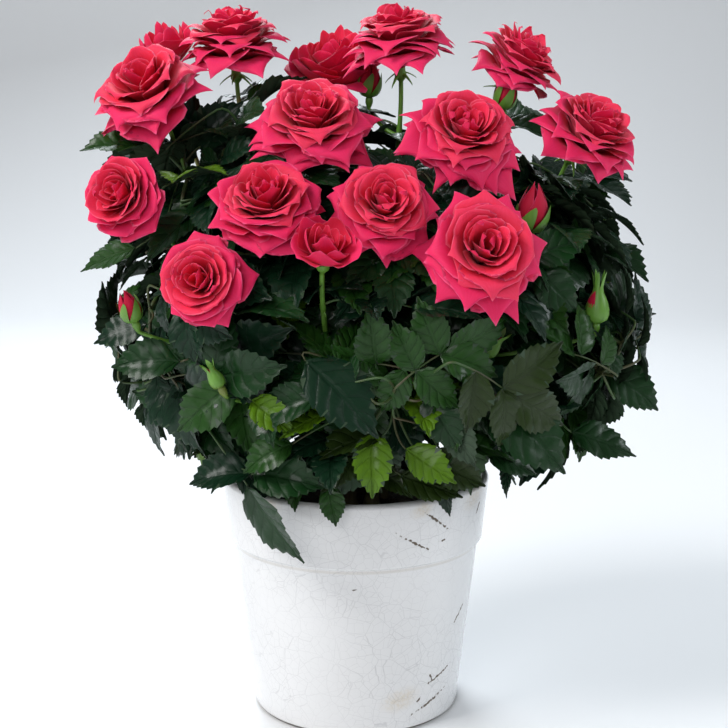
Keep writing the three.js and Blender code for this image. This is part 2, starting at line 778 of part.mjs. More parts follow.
function growMass(mass) {
  const random = seeded(mass.seed);
  mass.leaves = wasm.Manifold.union([]);
  const stem = growStem(mass, random);
  if (!stem) throw new Error(`no room for the stem of ${mass.name}`);
  mass.wood = stem.curve.getPoints(12).slice(5);
  mass.hub = stem.curve.v2.clone().addScaledVector(crownFacing(stem.curve.v2), mass.lift);
  mass.middles = [];
  const solids = [stem.solid];

  const addLeafTo = (tip, fewest, slack, overhang) => {
    for (let attempt = 0; attempt < leafTries; attempt++) {
      const { base, along, face, scale } = leafLie(tip, mass, random, attempt, overhang);
      const { foot, twigs, wood } = joinWood(base, mass, random);
      if (!twigs) continue;
      const shape = leaf(foot, base, along, face, scale);
      const kept = shape.leaflets.filter((blade) => leafletFits(blade, mass, slack));
      if (kept.length < fewest) continue;
      const solid = leafSolid(shape, kept);
      const own = shape.centres.every((point) => (
        insideOwnSpace(point, mass) && crownShare(point) < slack));
      if (!own || !fits(solid, taken) || !fits(solid, mass.leaves)) continue;
      mass.leaves = mass.leaves.add(solid);
      solids.push(...twigs, solid);
      mass.wood.push(...wood);
      mass.middles.push(...kept.map(({ top }) => top));
      return;
    }
  };

  outlineTips.map((entry) => new THREE.Vector3(...entry))
    .filter((tip) => nearestMass(tip) === mass)
    .forEach((tip) => addLeafTo(tip, 1, crownShare(tip) + outlineSlack, 1));
  crownPlaces.filter((place) => nearestMass(place) === mass)
    .forEach((place) => addLeafTo(place, leafletsLeast, crownSlack, leafOverhang));

  buds.forEach(({ at, length }) => {
    const middle = new THREE.Vector3(...at);
    if (nearestMass(middle) !== mass) return;
    const outward = middle.clone().sub(mass.hub).normalize();
    const axis = mix(outward, up, budUpright).normalize();
    const seat = middle.clone().addScaledVector(axis, -length / 2);
    const { foot, twigs } = joinWood(seat, mass, random);
    const stalk = sprig([foot, seat, middle], twigRadii, mass);
    if (!twigs || !stalk) return;
    solids.push(...twigs, stalk, budSolid(seat, axis, length));
  });

  const joined = wasm.Manifold.union(solids).subtract(caneCutters[mass.cane]);
  const bodies = joined.simplify(0.02).decompose();
  const sizes = bodies.map((body) => body.volume());
  const whole = bodies[sizes.indexOf(Math.max(...sizes))];
  return pieceOf(mass.name, geometryOfSolid(whole), leafGreen);
}

const plant = new THREE.Group();
plant.add(outerPot(), nurseryPot(), soil());
canes.forEach(({ points, radii }, place) => {
  const geometry = geometryOf(limb(points, radii, caneSides));
  plant.add(pieceOf(`cane_${place + 1}`, geometry, caneBark));
});
flowers.forEach((flower, place) => {
  const number = String(place + 1).padStart(2, '0');
  plant.add(shoot(flower, number), bloom(flower, number));
});
masses.forEach((mass) => plant.add(growMass(mass)));

export default plant;
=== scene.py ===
import math

import bpy
import numpy as np
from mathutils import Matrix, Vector, noise


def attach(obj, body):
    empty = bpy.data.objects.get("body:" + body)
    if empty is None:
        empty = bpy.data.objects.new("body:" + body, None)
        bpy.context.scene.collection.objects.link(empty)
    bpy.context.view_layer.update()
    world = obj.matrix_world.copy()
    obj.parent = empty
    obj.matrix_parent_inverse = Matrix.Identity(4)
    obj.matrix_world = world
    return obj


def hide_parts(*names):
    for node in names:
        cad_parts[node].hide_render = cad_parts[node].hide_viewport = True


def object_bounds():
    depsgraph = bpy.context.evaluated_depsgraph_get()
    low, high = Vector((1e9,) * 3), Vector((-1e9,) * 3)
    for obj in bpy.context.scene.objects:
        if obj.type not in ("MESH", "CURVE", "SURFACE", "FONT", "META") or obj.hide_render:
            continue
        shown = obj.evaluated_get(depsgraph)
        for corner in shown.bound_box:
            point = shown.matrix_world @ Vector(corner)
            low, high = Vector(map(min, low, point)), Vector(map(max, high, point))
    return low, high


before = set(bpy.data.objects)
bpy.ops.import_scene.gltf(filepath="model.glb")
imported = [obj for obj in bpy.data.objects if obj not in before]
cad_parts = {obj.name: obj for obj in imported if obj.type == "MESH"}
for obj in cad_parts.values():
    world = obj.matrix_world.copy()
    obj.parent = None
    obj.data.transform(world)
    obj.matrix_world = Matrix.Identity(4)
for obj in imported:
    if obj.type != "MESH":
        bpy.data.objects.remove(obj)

# The studio is given in metres, and the pots and the plant in millimetres. The
# box of the solids is kept, and the leaves are held within it.
mm = 0.001
cad_box = [list(corner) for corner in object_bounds()]
bpy.ops.object.select_all(action="DESELECT")

# Studio: a pale floor that sweeps up into a backdrop, wide soft light from the
# left and from behind, and the camera a little above the crown's middle.
floor_size = 5.0
floor_drop = 0.3 * mm
backdrop_height = 2.6
sweep_radius = 0.9
sweep_steps = 24
floor_colour = (0.88, 0.89, 0.91, 1)
air_colour = (0.93, 0.97, 1, 1)
air_strength = 0.22
camera_place = (4.7 * mm, -775 * mm, 335 * mm)
camera_tilt = math.radians(80.2)
camera_lens = 67.2


def select_edges(piece, wanted):
    """Selects the edges whose ends are both wanted, and goes on in edit mode."""
    bpy.ops.object.mode_set(mode="OBJECT")
    for edge in piece.data.edges:
        edge.select = all(wanted(piece.data.vertices[end].co) for end in edge.vertices)
    bpy.ops.object.mode_set(mode="EDIT")


bpy.ops.mesh.primitive_plane_add(size=floor_size, location=(0, 0, -floor_drop))
floor = bpy.context.object
floor.name = "studio_floor"
bpy.ops.object.mode_set(mode="EDIT")
bpy.ops.mesh.select_mode(type="EDGE")
bpy.ops.mesh.select_all(action="DESELECT")
select_edges(floor, lambda end: end.y > 0)
bpy.ops.mesh.extrude_region_move(TRANSFORM_OT_translate={"value": (0, 0, backdrop_height)})
select_edges(floor, lambda end: end.y > 0 and end.z < backdrop_height / 2)
bpy.ops.mesh.bevel(offset=sweep_radius, segments=sweep_steps, profile=0.5)
bpy.ops.object.mode_set(mode="OBJECT")
bpy.ops.object.shade_smooth()
floor_paint = bpy.data.materials.new("floor_paint")
floor_paint.use_nodes = True
floor_shader = floor_paint.node_tree.nodes["Principled BSDF"]
floor_shader.inputs["Base Color"].default_value = floor_colour
floor_shader.inputs["Roughness"].default_value = 0.6
floor.data.materials.append(floor_paint)


def window(name, place, aim, size, watts, colour):
    """A soft square light that faces a point."""
    turn = (Vector(aim) - Vector(place)).to_track_quat("-Z", "Y").to_euler()
    bpy.ops.object.light_add(type="AREA", location=place, rotation=turn)
    light = bpy.context.object
    light.name = name
    light.data.size = size
    light.data.energy = watts
    light.data.color = colour


crown_aim = (0, 0, 0.26)
window("window_left", (-1.2, -0.7, 1.5), crown_aim, 0.7, 26, (1, 0.99, 0.97))
window("window_behind", (-0.4, 1.5, 1.6), crown_aim, 0.9, 28, (0.88, 0.95, 1))
window("window_right", (1.6, -0.3, 1.0), crown_aim, 0.6, 11, (0.9, 0.96, 1))
window("window_front", (-0.5, -1.9, 1.0), crown_aim, 0.8, 9.5, (1, 1, 1))

sky = bpy.data.worlds.new("studio_air")
sky.use_nodes = True
air = sky.node_tree.nodes["Background"]
air.inputs["Color"].default_value = air_colour
air.inputs["Strength"].default_value = air_strength
bpy.context.scene.world = sky
bpy.context.scene.view_settings.view_transform = "Standard"

bpy.ops.object.camera_add(location=camera_place, rotation=(camera_tilt, 0, 0))
camera = bpy.context.object
camera.data.lens = camera_lens
camera.data.clip_start = 0.02
bpy.context.scene.camera = camera

# Outer pot: slip-cast earthenware with a deep band round its rim, dipped in
# a white glaze that has crazed all over. Its foot ring is bare clay.
pot_height = 138
pot_rim_radius = 77.5
pot_band_foot = 101
pot_band_foot_radius = 74.2
pot_shoulder_drop = 2.4
pot_shoulder_radius = 71.5
pot_base_radius = 60.3
pot_base_round = 2.4
pot_wall = 5.5
pot_floor = 9
pot_floor_hole = 20
pot_foot_ring = 6
pot_band_round = 1.6
pot_sides = 144
pot_longest_step = 6
pot_unevenness = 0.0035
pot_swells = 18


def arc(radius, middle_radius, middle_height, start, end, steps):
    """Points of a round stretch of a profile, in degrees from level."""
    turns = np.radians(np.linspace(start, end, steps + 1))
    return [(middle_radius + radius * math.cos(turn), middle_height + radius * math.sin(turn))
            for turn in turns]


def split_long(profile, longest):
    """The same profile with its long stretches split evenly."""
    points = [profile[0]]
    for before, after in zip(profile, profile[1:]):
        pieces = max(1, math.ceil(math.dist(before, after) / longest))
        for step in range(1, pieces + 1):
            share = step / pieces
            points.append((before[0] + (after[0] - before[0]) * share,
                           before[1] + (after[1] - before[1]) * share))
    return points


def turned(name, profile, sides):
    """A vessel drawn up from a disc, ring by ring, out of (radius, height) in mm."""
    radius, height = profile[0]
    bpy.ops.mesh.primitive_circle_add(vertices=sides, radius=radius * mm, fill_type="NGON",
                                      location=(0, 0, height * mm))
    piece = bpy.context.object
    piece.name = name
    bpy.ops.object.transform_apply(location=True, rotation=True, scale=True)
    bpy.ops.object.mode_set(mode="EDIT")
    bpy.ops.mesh.select_all(action="SELECT")
    for (radius, height), (next_radius, next_height) in zip(profile, profile[1:]):
        rise = (0, 0, (next_height - height) * mm)
        share = next_radius / radius
        bpy.ops.mesh.extrude_region_move(TRANSFORM_OT_translate={"value": rise})
        bpy.ops.transform.resize(value=(share, share, 1),
                                 center_override=(0, 0, next_height * mm))
    bpy.ops.mesh.select_all(action="SELECT")
    bpy.ops.mesh.normals_make_consistent(inside=False)
    bpy.ops.object.mode_set(mode="OBJECT")
    bpy.ops.object.shade_smooth_by_angle(angle=math.radians(40))
    return piece


def material(name, **sockets):
    """A new material with plain values on its shader's own sockets."""
    made = bpy.data.materials.new(name)
    made.use_nodes = True
    shader = made.node_tree.nodes["Principled BSDF"]
    for socket, value in sockets.items():
        shader.inputs[socket.replace("_", " ")].default_value = value
    return made, made.node_tree, shader


def node(tree, kind, inputs=None, **settings):
    """A shader node with its settings, its values and its links."""
    made = tree.nodes.new(kind)
    for name, value in settings.items():
        setattr(made, name, value)
    for name, value in (inputs or {}).items():
        if isinstance(value, bpy.types.NodeSocket):
            tree.links.new(value, made.inputs[name])
        else:
            made.inputs[name].default_value = value
    return made


def node_group(name, inputs, outputs):
    """An empty shader node group and its two end nodes."""
    tree = bpy.data.node_groups.new(name, "ShaderNodeTree")
    for side, sockets in (("INPUT", inputs), ("OUTPUT", outputs)):
        for socket, kind in sockets.items():
            tree.interface.new_socket(name=socket, in_out=side,
                                      socket_type=f"NodeSocket{kind}")
    return tree, tree.nodes.new("NodeGroupInput"), tree.nodes.new("NodeGroupOutput")


def calc(tree, operation, *values):
    """The result of one step of arithmetic."""
    return node(tree, "ShaderNodeMath", dict(enumerate(values)), operation=operation).outputs[0]


def vector_calc(tree, operation, *values):
    """The same for whole points."""
    return node(tree, "ShaderNodeVectorMath", dict(enumerate(values)),
                operation=operation).outputs[0]


def smooth_step(tree, value, low, high, out_low=0.0, out_high=1.0):
    """A value that eases from one level to another between two bounds."""
    ease = node(tree, "ShaderNodeMapRange", {
        "Value": value, "From Min": low, "From Max": high,
        "To Min": out_low, "To Max": out_high}, interpolation_type="SMOOTHSTEP")
    return ease.outputs["Result"]


def blend_colour(tree, share, first, second):
    """One colour that turns into another by a share."""
    mix = node(tree, "ShaderNodeMix", {0: share, 6: first, 7: second}, data_type="RGBA")
    return mix.outputs[2]


def object_place(tree):
    """Each point's place on the object, in metres."""
    return node(tree, "ShaderNodeTexCoord").outputs["Object"]


def clouds(tree, place, scale, detail):
    """Soft uneven noise from 0 to 1, with its scale in waves a metre."""
    made = node(tree, "ShaderNodeTexNoise", {"Vector": place, "Scale": scale, "Detail": detail})
    return made.outputs["Fac"]


def stretched(tree, place, sizes):
    """The same places, scaled along each axis."""
    return node(tree, "ShaderNodeMapping", {"Vector": place, "Scale": sizes}).outputs[0]


def relief(tree, level, strength, depth, surface):
    """Bump from a level, with its depth in mm, led to a shader's or a group's Normal."""
    bump = node(tree, "ShaderNodeBump", {"Height": level, "Strength": strength,
                                         "Distance": depth * mm})
    tree.links.new(bump.outputs["Normal"], surface.inputs["Normal"])


# Worn places on the glaze: where each lies on the wall (degrees from +X and
# height in mm), its half length, half width and how far it is turned
glaze_wear = [
    (-55, 126, 12, 0.8, -36),
    (-64, 114, 11, 0.8, -30),
    (-51, 113, 3, 0.6, 8),
    (-25, 125, 4, 0.8, 60),
    (-90, 89, 2, 0.6, 10),
    (-29, 62, 9, 0.8, 42),
    (-41, 29, 10, 0.8, 20),
    (-48, 29.5, 3, 0.7, -60),
    (-47, 14, 12, 0.9, 21),
    (-55, 17.5, 2.5, 0.7, 45),
    (60, 96, 8, 1.6, 20),
    (128, 54, 9, 1.5, -25),
    (172, 112, 6, 1.5, 35),
]
# Places where water has stained the glaze: degrees, height and half size
glaze_stains = [(-62, 133, 9), (-30, 133, 15), (-66, 20, 14), (-128, 134, 12), (70, 30, 24)]
# Nets of cracks, wide and fine: cells a metre, width of a crack and its depth
glaze_cracks = ((85, 0.016, 1.0), (205, 0.03, 0.75))
crack_wander = 0.004
crack_shade = 0.42
crack_sink = 0.14
worn_sink = 0.5
# How far a spot reaches into the wall, in mm
spot_depth = 20
glaze_white = (0.82, 0.82, 0.83, 1)
glaze_shaded = (0.74, 0.735, 0.74, 1)
stain_brown = (0.66, 0.56, 0.42, 1)
# Grey-beige of the shadow painted just under the band's step, where its lip shades the wall
band_lip_shadow = (0.6, 0.56, 0.5, 1)
crack_grey = (0.4, 0.395, 0.41, 1)
worn_clay = (0.13, 0.1, 0.075, 1)
foot_clay = (0.12, 0.095, 0.075, 1)


def swivel(tree, place, axis, angle):
    """Places turned about an axis through the origin."""
    return node(tree, "ShaderNodeVectorRotate", {"Vector": place, "Axis": axis, "Angle": angle},
                rotation_type="AXIS_ANGLE").outputs[0]


def wall_spot(tree, position, angle, height, long, wide, turn):
    """How far a point lies from a long spot on the pot's wall, 1 at its edge."""
    radius = np.interp(height, [0, pot_band_foot, pot_height],
                       [pot_base_radius, pot_shoulder_radius, pot_rim_radius])
    around = math.radians(angle)
    place = (radius * mm * math.cos(around), radius * mm * math.sin(around), height * mm)
    level = swivel(tree, vector_calc(tree, "SUBTRACT", position, place), (0, 0, 1), -around)
    spot = swivel(tree, level, (1, 0, 0), -math.radians(turn))
    sized = vector_calc(tree, "DIVIDE", spot, (spot_depth * mm, long * mm, wide * mm))
    return node(tree, "ShaderNodeVectorMath", {0: sized}, operation="LENGTH").outputs["Value"]


def glaze_material():
    """White glaze with its net of fine cracks, worn spots, stains and bare foot, and a thin shadow
    painted under the band's step.
    """
    made, tree, shader = material("white_crackle_glaze", Roughness=0.2, IOR=1.5,
                                  Coat_Weight=0.5, Coat_Roughness=0.08)
    position = object_place(tree)
    wander = node(tree, "ShaderNodeTexNoise", {"Vector": position, "Scale": 60, "Detail": 3})
    drift = vector_calc(tree, "SUBTRACT", wander.outputs["Color"], (0.5, 0.5, 0.5))
    small = node(tree, "ShaderNodeVectorMath", {0: drift, "Scale": crack_wander},
                 operation="SCALE")
    crazed = vector_calc(tree, "ADD", position, small.outputs[0])
    cracks = 0.0
    for cells, width, depth in glaze_cracks:
        net = node(tree, "ShaderNodeTexVoronoi",
                   {"Vector": crazed, "Scale": cells, "Randomness": 0.95},
                   feature="DISTANCE_TO_EDGE")
        line = smooth_step(tree, net.outputs["Distance"], 0.0, width, depth, 0.0)
        cracks = calc(tree, "MAXIMUM", cracks, line)
    cracks = calc(tree, "MULTIPLY", cracks,
                  smooth_step(tree, clouds(tree, position, 18, 2), 0.3, 0.62, 0.25, 1.0))

    ragged = clouds(tree, position, 520, 4)
    rough_edge = calc(tree, "MULTIPLY", calc(tree, "SUBTRACT", ragged, 0.5), 3.4)
    wear = 0.0
    for angle, height, long, wide, turn in glaze_wear:
        far = wall_spot(tree, position, angle, height, long, wide, turn)
        chip = smooth_step(tree, calc(tree, "ADD", far, rough_edge), 0.55, 0.95, 1.0, 0.0)
        wear = calc(tree, "MAXIMUM", wear, chip)
    stain = 0.0
    for angle, height, size in glaze_stains:
        far = wall_spot(tree, position, angle, height, size, size * 0.6, 15)
        stain = calc(tree, "MAXIMUM", stain, smooth_step(tree, far, 0.15, 1.1, 1.0, 0.0))
    stain = calc(tree, "MULTIPLY", stain,
                 smooth_step(tree, ragged, 0.35, 0.65, 0.25, 0.6))

    height = node(tree, "ShaderNodeSeparateXYZ", {"Vector": position}).outputs["Z"]
    # A thin line just under the band's step is painted darker, as the shadow of the band's lip
    lip_shadow_line = smooth_step(
        tree, calc(tree, "ABSOLUTE", calc(tree, "SUBTRACT", height, (pot_band_foot - 2) * mm)),
        0.3 * mm, 1.6 * mm, 0.5, 0.0)
    foot = smooth_step(tree, height, 0.9 * mm, 1.9 * mm, 1.0, 0.0)
    colour = blend_colour(tree, clouds(tree, position, 9, 3), glaze_white, glaze_shaded)
    for share, tone in ((stain, stain_brown), (lip_shadow_line, band_lip_shadow),
                        (calc(tree, "MULTIPLY", cracks, crack_shade), crack_grey),
                        (wear, worn_clay), (foot, foot_clay)):
        colour = blend_colour(tree, share, colour, tone)
    tree.links.new(colour, shader.inputs["Base Color"])
    dull = calc(tree, "MAXIMUM", wear, foot)
    tree.links.new(smooth_step(tree, dull, 0, 1, 0.2, 0.8), shader.inputs["Roughness"])
    tree.links.new(smooth_step(tree, dull, 0, 1, 0.5, 0.0), shader.inputs["Coat Weight"])
    level = calc(tree, "SUBTRACT", calc(tree, "MULTIPLY", clouds(tree, position, 30, 2), 0.5),
                 calc(tree, "ADD", calc(tree, "MULTIPLY", cracks, crack_sink),
                      calc(tree, "MULTIPLY", dull, worn_sink)))
    relief(tree, level, 0.5, 0.6, shader)
    return made


pot_lip = pot_wall / 2
pot_profile = split_long([
    (pot_base_radius - pot_foot_ring, 0.4),
    (pot_base_radius - pot_base_round - 1, 0),
    *arc(pot_base_round, pot_base_radius - pot_base_round, pot_base_round, -90, 0, 5),
    (pot_shoulder_radius - 0.1, pot_band_foot - pot_shoulder_drop - 1),
    (pot_shoulder_radius + 0.5, pot_band_foot - pot_shoulder_drop),
    *arc(pot_band_round, pot_band_foot_radius - pot_band_round, pot_band_foot + 1.2, -90, 0, 5),
    *arc(pot_lip, pot_rim_radius - pot_lip, pot_height - pot_lip, 0, 180, 12),
    (pot_shoulder_radius - pot_wall, pot_band_foot - pot_shoulder_drop),
    (pot_base_radius - pot_wall, pot_floor),
    (pot_floor_hole, pot_floor),
], pot_longest_step)
pot = turned("glazed_pot", pot_profile, pot_sides)
for vertex in pot.data.vertices:
    swell = 1 + pot_unevenness * noise.noise(vertex.co * pot_swells)
    if vertex.co.z > mm:
        vertex.co = Vector((vertex.co.x * swell, vertex.co.y * swell, vertex.co.z))
pot.data.materials.append(glaze_material())
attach(pot, "root")
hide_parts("pot")

# Nursery pot: thin blown plastic, dark blue-black, with a turned-out rim. It
# stands loose inside the glazed pot and holds the soil.
grow_rim_top = 131
grow_rim_radius = 69.8
grow_rim_foot = 123
grow_top_radius = 66.8
grow_base_radius = 52
grow_wall = 1.6
grow_base = 9.3
grow_lip = 0.8
grow_floor_hole = 10
grow_sides = 96
grow_longest_step = 12
plastic_dark = (0.014, 0.017, 0.03, 1)
plastic_scuffed = (0.05, 0.055, 0.07, 1)


def nursery_plastic():
    """Blown plastic with a faint grain and a few scuffs."""
    made, tree, shader = material("nursery_plastic", Roughness=0.5)
    position = object_place(tree)
    scuffs = clouds(tree, position, 90, 5)
    worn = smooth_step(tree, scuffs, 0.5, 0.72)
    tree.links.new(blend_colour(tree, worn, plastic_dark, plastic_scuffed),
                   shader.inputs["Base Color"])
    tree.links.new(smooth_step(tree, worn, 0, 1, 0.4, 0.7), shader.inputs["Roughness"])
    relief(tree, scuffs, 0.3, 0.2, shader)
    return made


grow_profile = split_long([
    (grow_base_radius - 2, grow_base),
    (grow_base_radius, grow_base + 1),
    (grow_top_radius, grow_rim_foot - 1),
    (grow_top_radius + 0.4, grow_rim_foot),
    (grow_rim_radius - 0.4, grow_rim_foot),
    (grow_rim_radius, grow_rim_foot + 0.4),
    *arc(grow_lip, grow_rim_radius - grow_lip, grow_rim_top - grow_lip, 0, 180, 6),
    (grow_rim_radius - grow_wall - 0.6, grow_rim_foot + 2),
    (grow_top_radius - grow_wall, grow_rim_foot),
    (grow_base_radius - grow_wall, grow_base + grow_wall),
    (grow_floor_hole, grow_base + grow_wall),
], grow_longest_step)
grow_pot = turned("nursery_pot", grow_profile, grow_sides)
grow_pot.data.materials.append(nursery_plastic())
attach(grow_pot, "root")
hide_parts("grow_pot")

# Soil: dark peat compost filled into the nursery pot, loose on top, with
# crumbs and bits of bark on it.
soil_top = 121
soil_base = 11.2
soil_low_radius = 49.8
soil_top_radius = 63.6
soil_edge = 1.5
soil_middle_hole = 2
soil_longest_step = 3
# Lumps of the soil's top: height in mm and waves a metre
soil_lumps = ((0.9, 90), (0.5, 320))
crumb_count = 320
crumb_inset = 4
crumb_seed = 77
# Half sizes of a crumb in mm, least and most, along each axis
crumb_sizes = ((0.5, 2.2), (0.5, 1.6), (0.4, 1.1))
peat_dark = (0.011, 0.007, 0.005, 1)
peat_light = (0.055, 0.034, 0.02, 1)


def peat():
    """Moist peat, nearly black in its hollows."""
    made, tree, shader = material("peat", Roughness=0.95)
    position = object_place(tree)
    lumps = clouds(tree, position, 260, 6)
    grain = clouds(tree, position, 900, 3)
    colour = blend_colour(tree, smooth_step(tree, lumps, 0.35, 0.65), peat_dark, peat_light)
    tree.links.new(colour, shader.inputs["Base Color"])
    relief(tree, calc(tree, "ADD", lumps, calc(tree, "MULTIPLY", grain, 0.4)), 0.9, 1.2, shader)
    return made


def seeded(seed):
    """Numbers that look random and are the same on every run."""
    state = seed

    def draw(low=0.0, high=1.0):
        nonlocal state
        state = state * 48271 % 2147483647
        return low + (high - low) * state / 2147483647
    return draw


soil_profile = split_long([
    (soil_low_radius, soil_base),
    (soil_top_radius, soil_top - soil_edge),
    (soil_top_radius - soil_edge, soil_top - 0.5),
    (soil_middle_hole, soil_top - 0.5),
], soil_longest_step)
soil = turned("potting_soil", soil_profile, grow_sides)
for vertex in soil.data.vertices:
    if vertex.co.z > (soil_top - 2) * mm:
        vertex.co.z += sum(height * noise.noise(vertex.co * waves)
                           for height, waves in soil_lumps) * mm
bpy.ops.mesh.primitive_ico_sphere_add(subdivisions=1, radius=mm)
crumb = bpy.context.object
crumb_points = np.array([vertex.co[:] for vertex in crumb.data.vertices])
crumb_faces = np.array([face.vertices[:] for face in crumb.data.polygons])
bpy.data.objects.remove(crumb)
draw = seeded(crumb_seed)
points, faces = [], []
for number in range(crumb_count):
    reach = (soil_top_radius - crumb_inset) * math.sqrt(draw())
    turn = draw(0, 2 * math.pi)
    size = np.array([draw(*sizes) for sizes in crumb_sizes])
    place = np.array([reach * math.cos(turn), reach * math.sin(turn), soil_top - 0.4]) * mm
    faces.append(crumb_faces + len(crumb_points) * number)
    points.append(crumb_points * size + place)
crumb_mesh = bpy.data.meshes.new("soil_crumbs")
crumb_mesh.from_pydata(np.concatenate(points).tolist(), [], np.concatenate(faces).tolist())
crumbs = bpy.data.objects.new("soil_crumbs", crumb_mesh)
bpy.context.collection.objects.link(crumbs)
peat_finish = peat()
for piece in (soil, crumbs):
    piece.data.materials.append(peat_finish)
    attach(piece, "root")
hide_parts("soil")

# Canes: six woody stems that rise from the soil and bow outward. Their green
# bark is ridged, browner and cracked toward the foot, and bears prickles.
cane_azimuths = (-152, -104, -52, 8, 78, 152)
cane_foot_reach = 15
cane_tip_reach = 50
cane_tip_height = 236
cane_belly = 0.35
cane_belly_rise = 20
cane_flare_radius = 5.4
cane_foot_radius = 3.9
cane_tip_radius = 2.3
cane_flare_height = 7
cane_flare_shares = (0, 0.2, 0.4, 0.6, 0.8)
cane_steps = 70
cane_sides = 18
cane_ridge = 0.13
cane_prickles = 9
cane_prickle_length = 3.6
prickle_sides = 6
cane_seed = 401
cane_seed_step = 31
cane_joints = 5.5
cane_joint_swell = 0.35
bark_greens = ((0.06, 0.12, 0.028, 1), (0.14, 0.22, 0.06, 1))
bark_browns = ((0.06, 0.035, 0.018, 1), (0.2, 0.14, 0.08, 1))
bark_brown_top = 0.125
bark_green_foot = 0.19
gap = 0.3
up = np.array([0.0, 0.0, 1.0])


def unit(vector):
    """The direction of a vector."""
    return vector / np.linalg.norm(vector)


def square_to(way, vector):
    """The direction of what is left of a vector square to a way."""
    return unit(vector - way * vector.dot(way))


def swung(vector, way, angle):
    """A vector square to a way, turned about it by an angle in radians."""
    return vector * math.cos(angle) + np.cross(way, vector) * math.sin(angle)


def towards(azimuth, reach, height):
    """The point at an azimuth in degrees, a distance from the axis and a height."""
    turn = math.radians(azimuth)
    return np.array([math.cos(turn) * reach, math.sin(turn) * reach, height])


def curve_point(corners, share):
    """A point on the Bezier curve of three or four corners."""
    row = [np.asarray(corner, float) for corner in corners]
    while len(row) > 1:
        row = [a + (b - a) * share for a, b in zip(row, row[1:])]
    return row[0]


def curve(corners, count):
    """Points spread evenly over the curve of three or four corners."""
    return [curve_point(corners, share) for share in np.linspace(0, 1, count)]


def limb(points, radii, sides, ridge=0.0, seed=0):
    """A tapering limb with closed ends round a row of points, in millimetres."""
    points = np.asarray(points, float)
    ways = np.gradient(points, axis=0)
    ways /= np.linalg.norm(ways, axis=1)[:, None]
    across = np.array([1.0, 0.0, 0.0]) if abs(ways[0][0]) < 0.8 else np.array([0.0, 1.0, 0.0])
    turns = np.arange(sides) / sides * 2 * math.pi
    rings = []
    for point, way, radius in zip(points, ways, radii):
        across = square_to(way, across)
        third = np.cross(way, across)
        girth = np.full(sides, float(radius))
        if ridge:
            girth *= [1 + ridge * noise.noise(Vector((math.cos(turn) * 2.2, math.sin(turn) * 2.2,
                                                      point[2] * 0.09 + seed))) for turn in turns]
        rings.append(point + girth[:, None] * (np.cos(turns)[:, None] * across
                                               + np.sin(turns)[:, None] * third))
    rows = np.arange(len(points) - 1)[:, None] * sides
    side = np.arange(sides)
    after = (side + 1) % sides
    walls = np.stack([rows + side, rows + after, rows + sides + after, rows + sides + side],
                     axis=-1).reshape(-1, 4)
    fan = np.arange(1, sides - 2, 2)
    end = (len(points) - 1) * sides
    foot_cap = np.stack([0 * fan, fan + 2, fan + 1, fan], axis=-1)
    end_cap = np.stack([0 * fan, fan, fan + 1, fan + 2], axis=-1) + end
    return {"points": np.concatenate(rings), "quads": np.concatenate([walls, foot_cap, end_cap])}


def tapered(row, ends, sides):
    """A limb that narrows evenly from one end radius to the other."""
    return limb(row, np.linspace(*ends, len(row)), sides)


def joined(name, shapes, finishes):
    """One mesh out of many shapes, each with its finish and its own blade map."""
    starts = np.cumsum([0] + [len(shape["points"]) for shape in shapes[:-1]])
    points = np.concatenate([shape["points"] for shape in shapes]) * mm
    quads = np.concatenate([shape["quads"] + start for shape, start in zip(shapes, starts)])
    mesh = bpy.data.meshes.new(name)
    mesh.from_pydata(points.tolist(), [], quads.tolist())
    mesh.polygons.foreach_set("use_smooth", np.ones(len(quads), bool))
    numbers = [np.broadcast_to(shape.get("finish", 0), len(shape["quads"])) for shape in shapes]
    mesh.polygons.foreach_set("material_index", np.concatenate(numbers).astype(np.int32))
    if "blade" in shapes[0]:
        for layer, key in (("blade", "blade"), ("OFBake", "island")):
            corners = np.concatenate([shape[key].reshape(-1, 2) for shape in shapes])
            mesh.uv_layers.new(name=layer).data.foreach_set(
                "uv", corners.astype(np.float32).ravel())
        margin = np.concatenate([shape["margin"] for shape in shapes])
        ends = np.empty(len(mesh.edges) * 2, np.int32)
        mesh.edges.foreach_get("vertices", ends)
        sharp = margin[ends].reshape(-1, 2).all(axis=1)
        mesh.attributes.new("sharp_edge", "BOOLEAN", "EDGE").data.foreach_set("value", sharp)
    for finish in finishes:
        mesh.materials.append(finish)
    piece = bpy.data.objects.new(name, mesh)
    bpy.context.collection.objects.link(piece)
    return piece


def bark():
    """Young rose bark: green above, brown and finely split toward the soil."""
    made, tree, shader = material("cane_bark", Roughness=0.62)
    position = object_place(tree)
    fibres = clouds(tree, stretched(tree, position, (1, 1, 0.16)), 900, 4)
    height = node(tree, "ShaderNodeSeparateXYZ", {"Vector": position}).outputs["Z"]
    age = calc(tree, "ADD",
               smooth_step(tree, height, bark_brown_top, bark_green_foot, 0.85, 0.0),
               smooth_step(tree, clouds(tree, position, 70, 3), 0.5, 0.75, 0.0, 0.4))
    green = blend_colour(tree, fibres, *bark_greens)
    brown = blend_colour(tree, fibres, *bark_browns)
    tree.links.new(blend_colour(tree, age, green, brown), shader.inputs["Base Color"])
    tree.links.new(smooth_step(tree, age, 0, 1, 0.5, 0.85), shader.inputs["Roughness"])
    relief(tree, fibres, 0.6, 0.35, shader)
    return made


def prickle(point, out, way, length):
    """A hooked prickle that points out of a stem and a little down."""
    bend = out - 0.35 * way
    row = [point - out * 0.6, point + out * 0.3 * length,
           point + bend * 0.7 * length - way * 0.1 * length,
           point + bend * length - way * 0.3 * length]
    return limb(row, [length * 0.32, length * 0.22, length * 0.1, 0.05], prickle_sides)


def prickles(points, radii, count, draw, length):
    """Prickles spread over a stem, by a seeded draw."""
    found = []
    for number in range(count):
        place = int(draw(0.1, 0.75) * (len(points) - 2))
        way = unit(points[place + 1] - points[place])
        out = square_to(way, np.array([draw(-1, 1), draw(-1, 1), 0.0]))
        found.append(prickle(points[place] + out * radii[place] * 0.8, out, way,
                             length * draw(0.7, 1.1)))
    return found


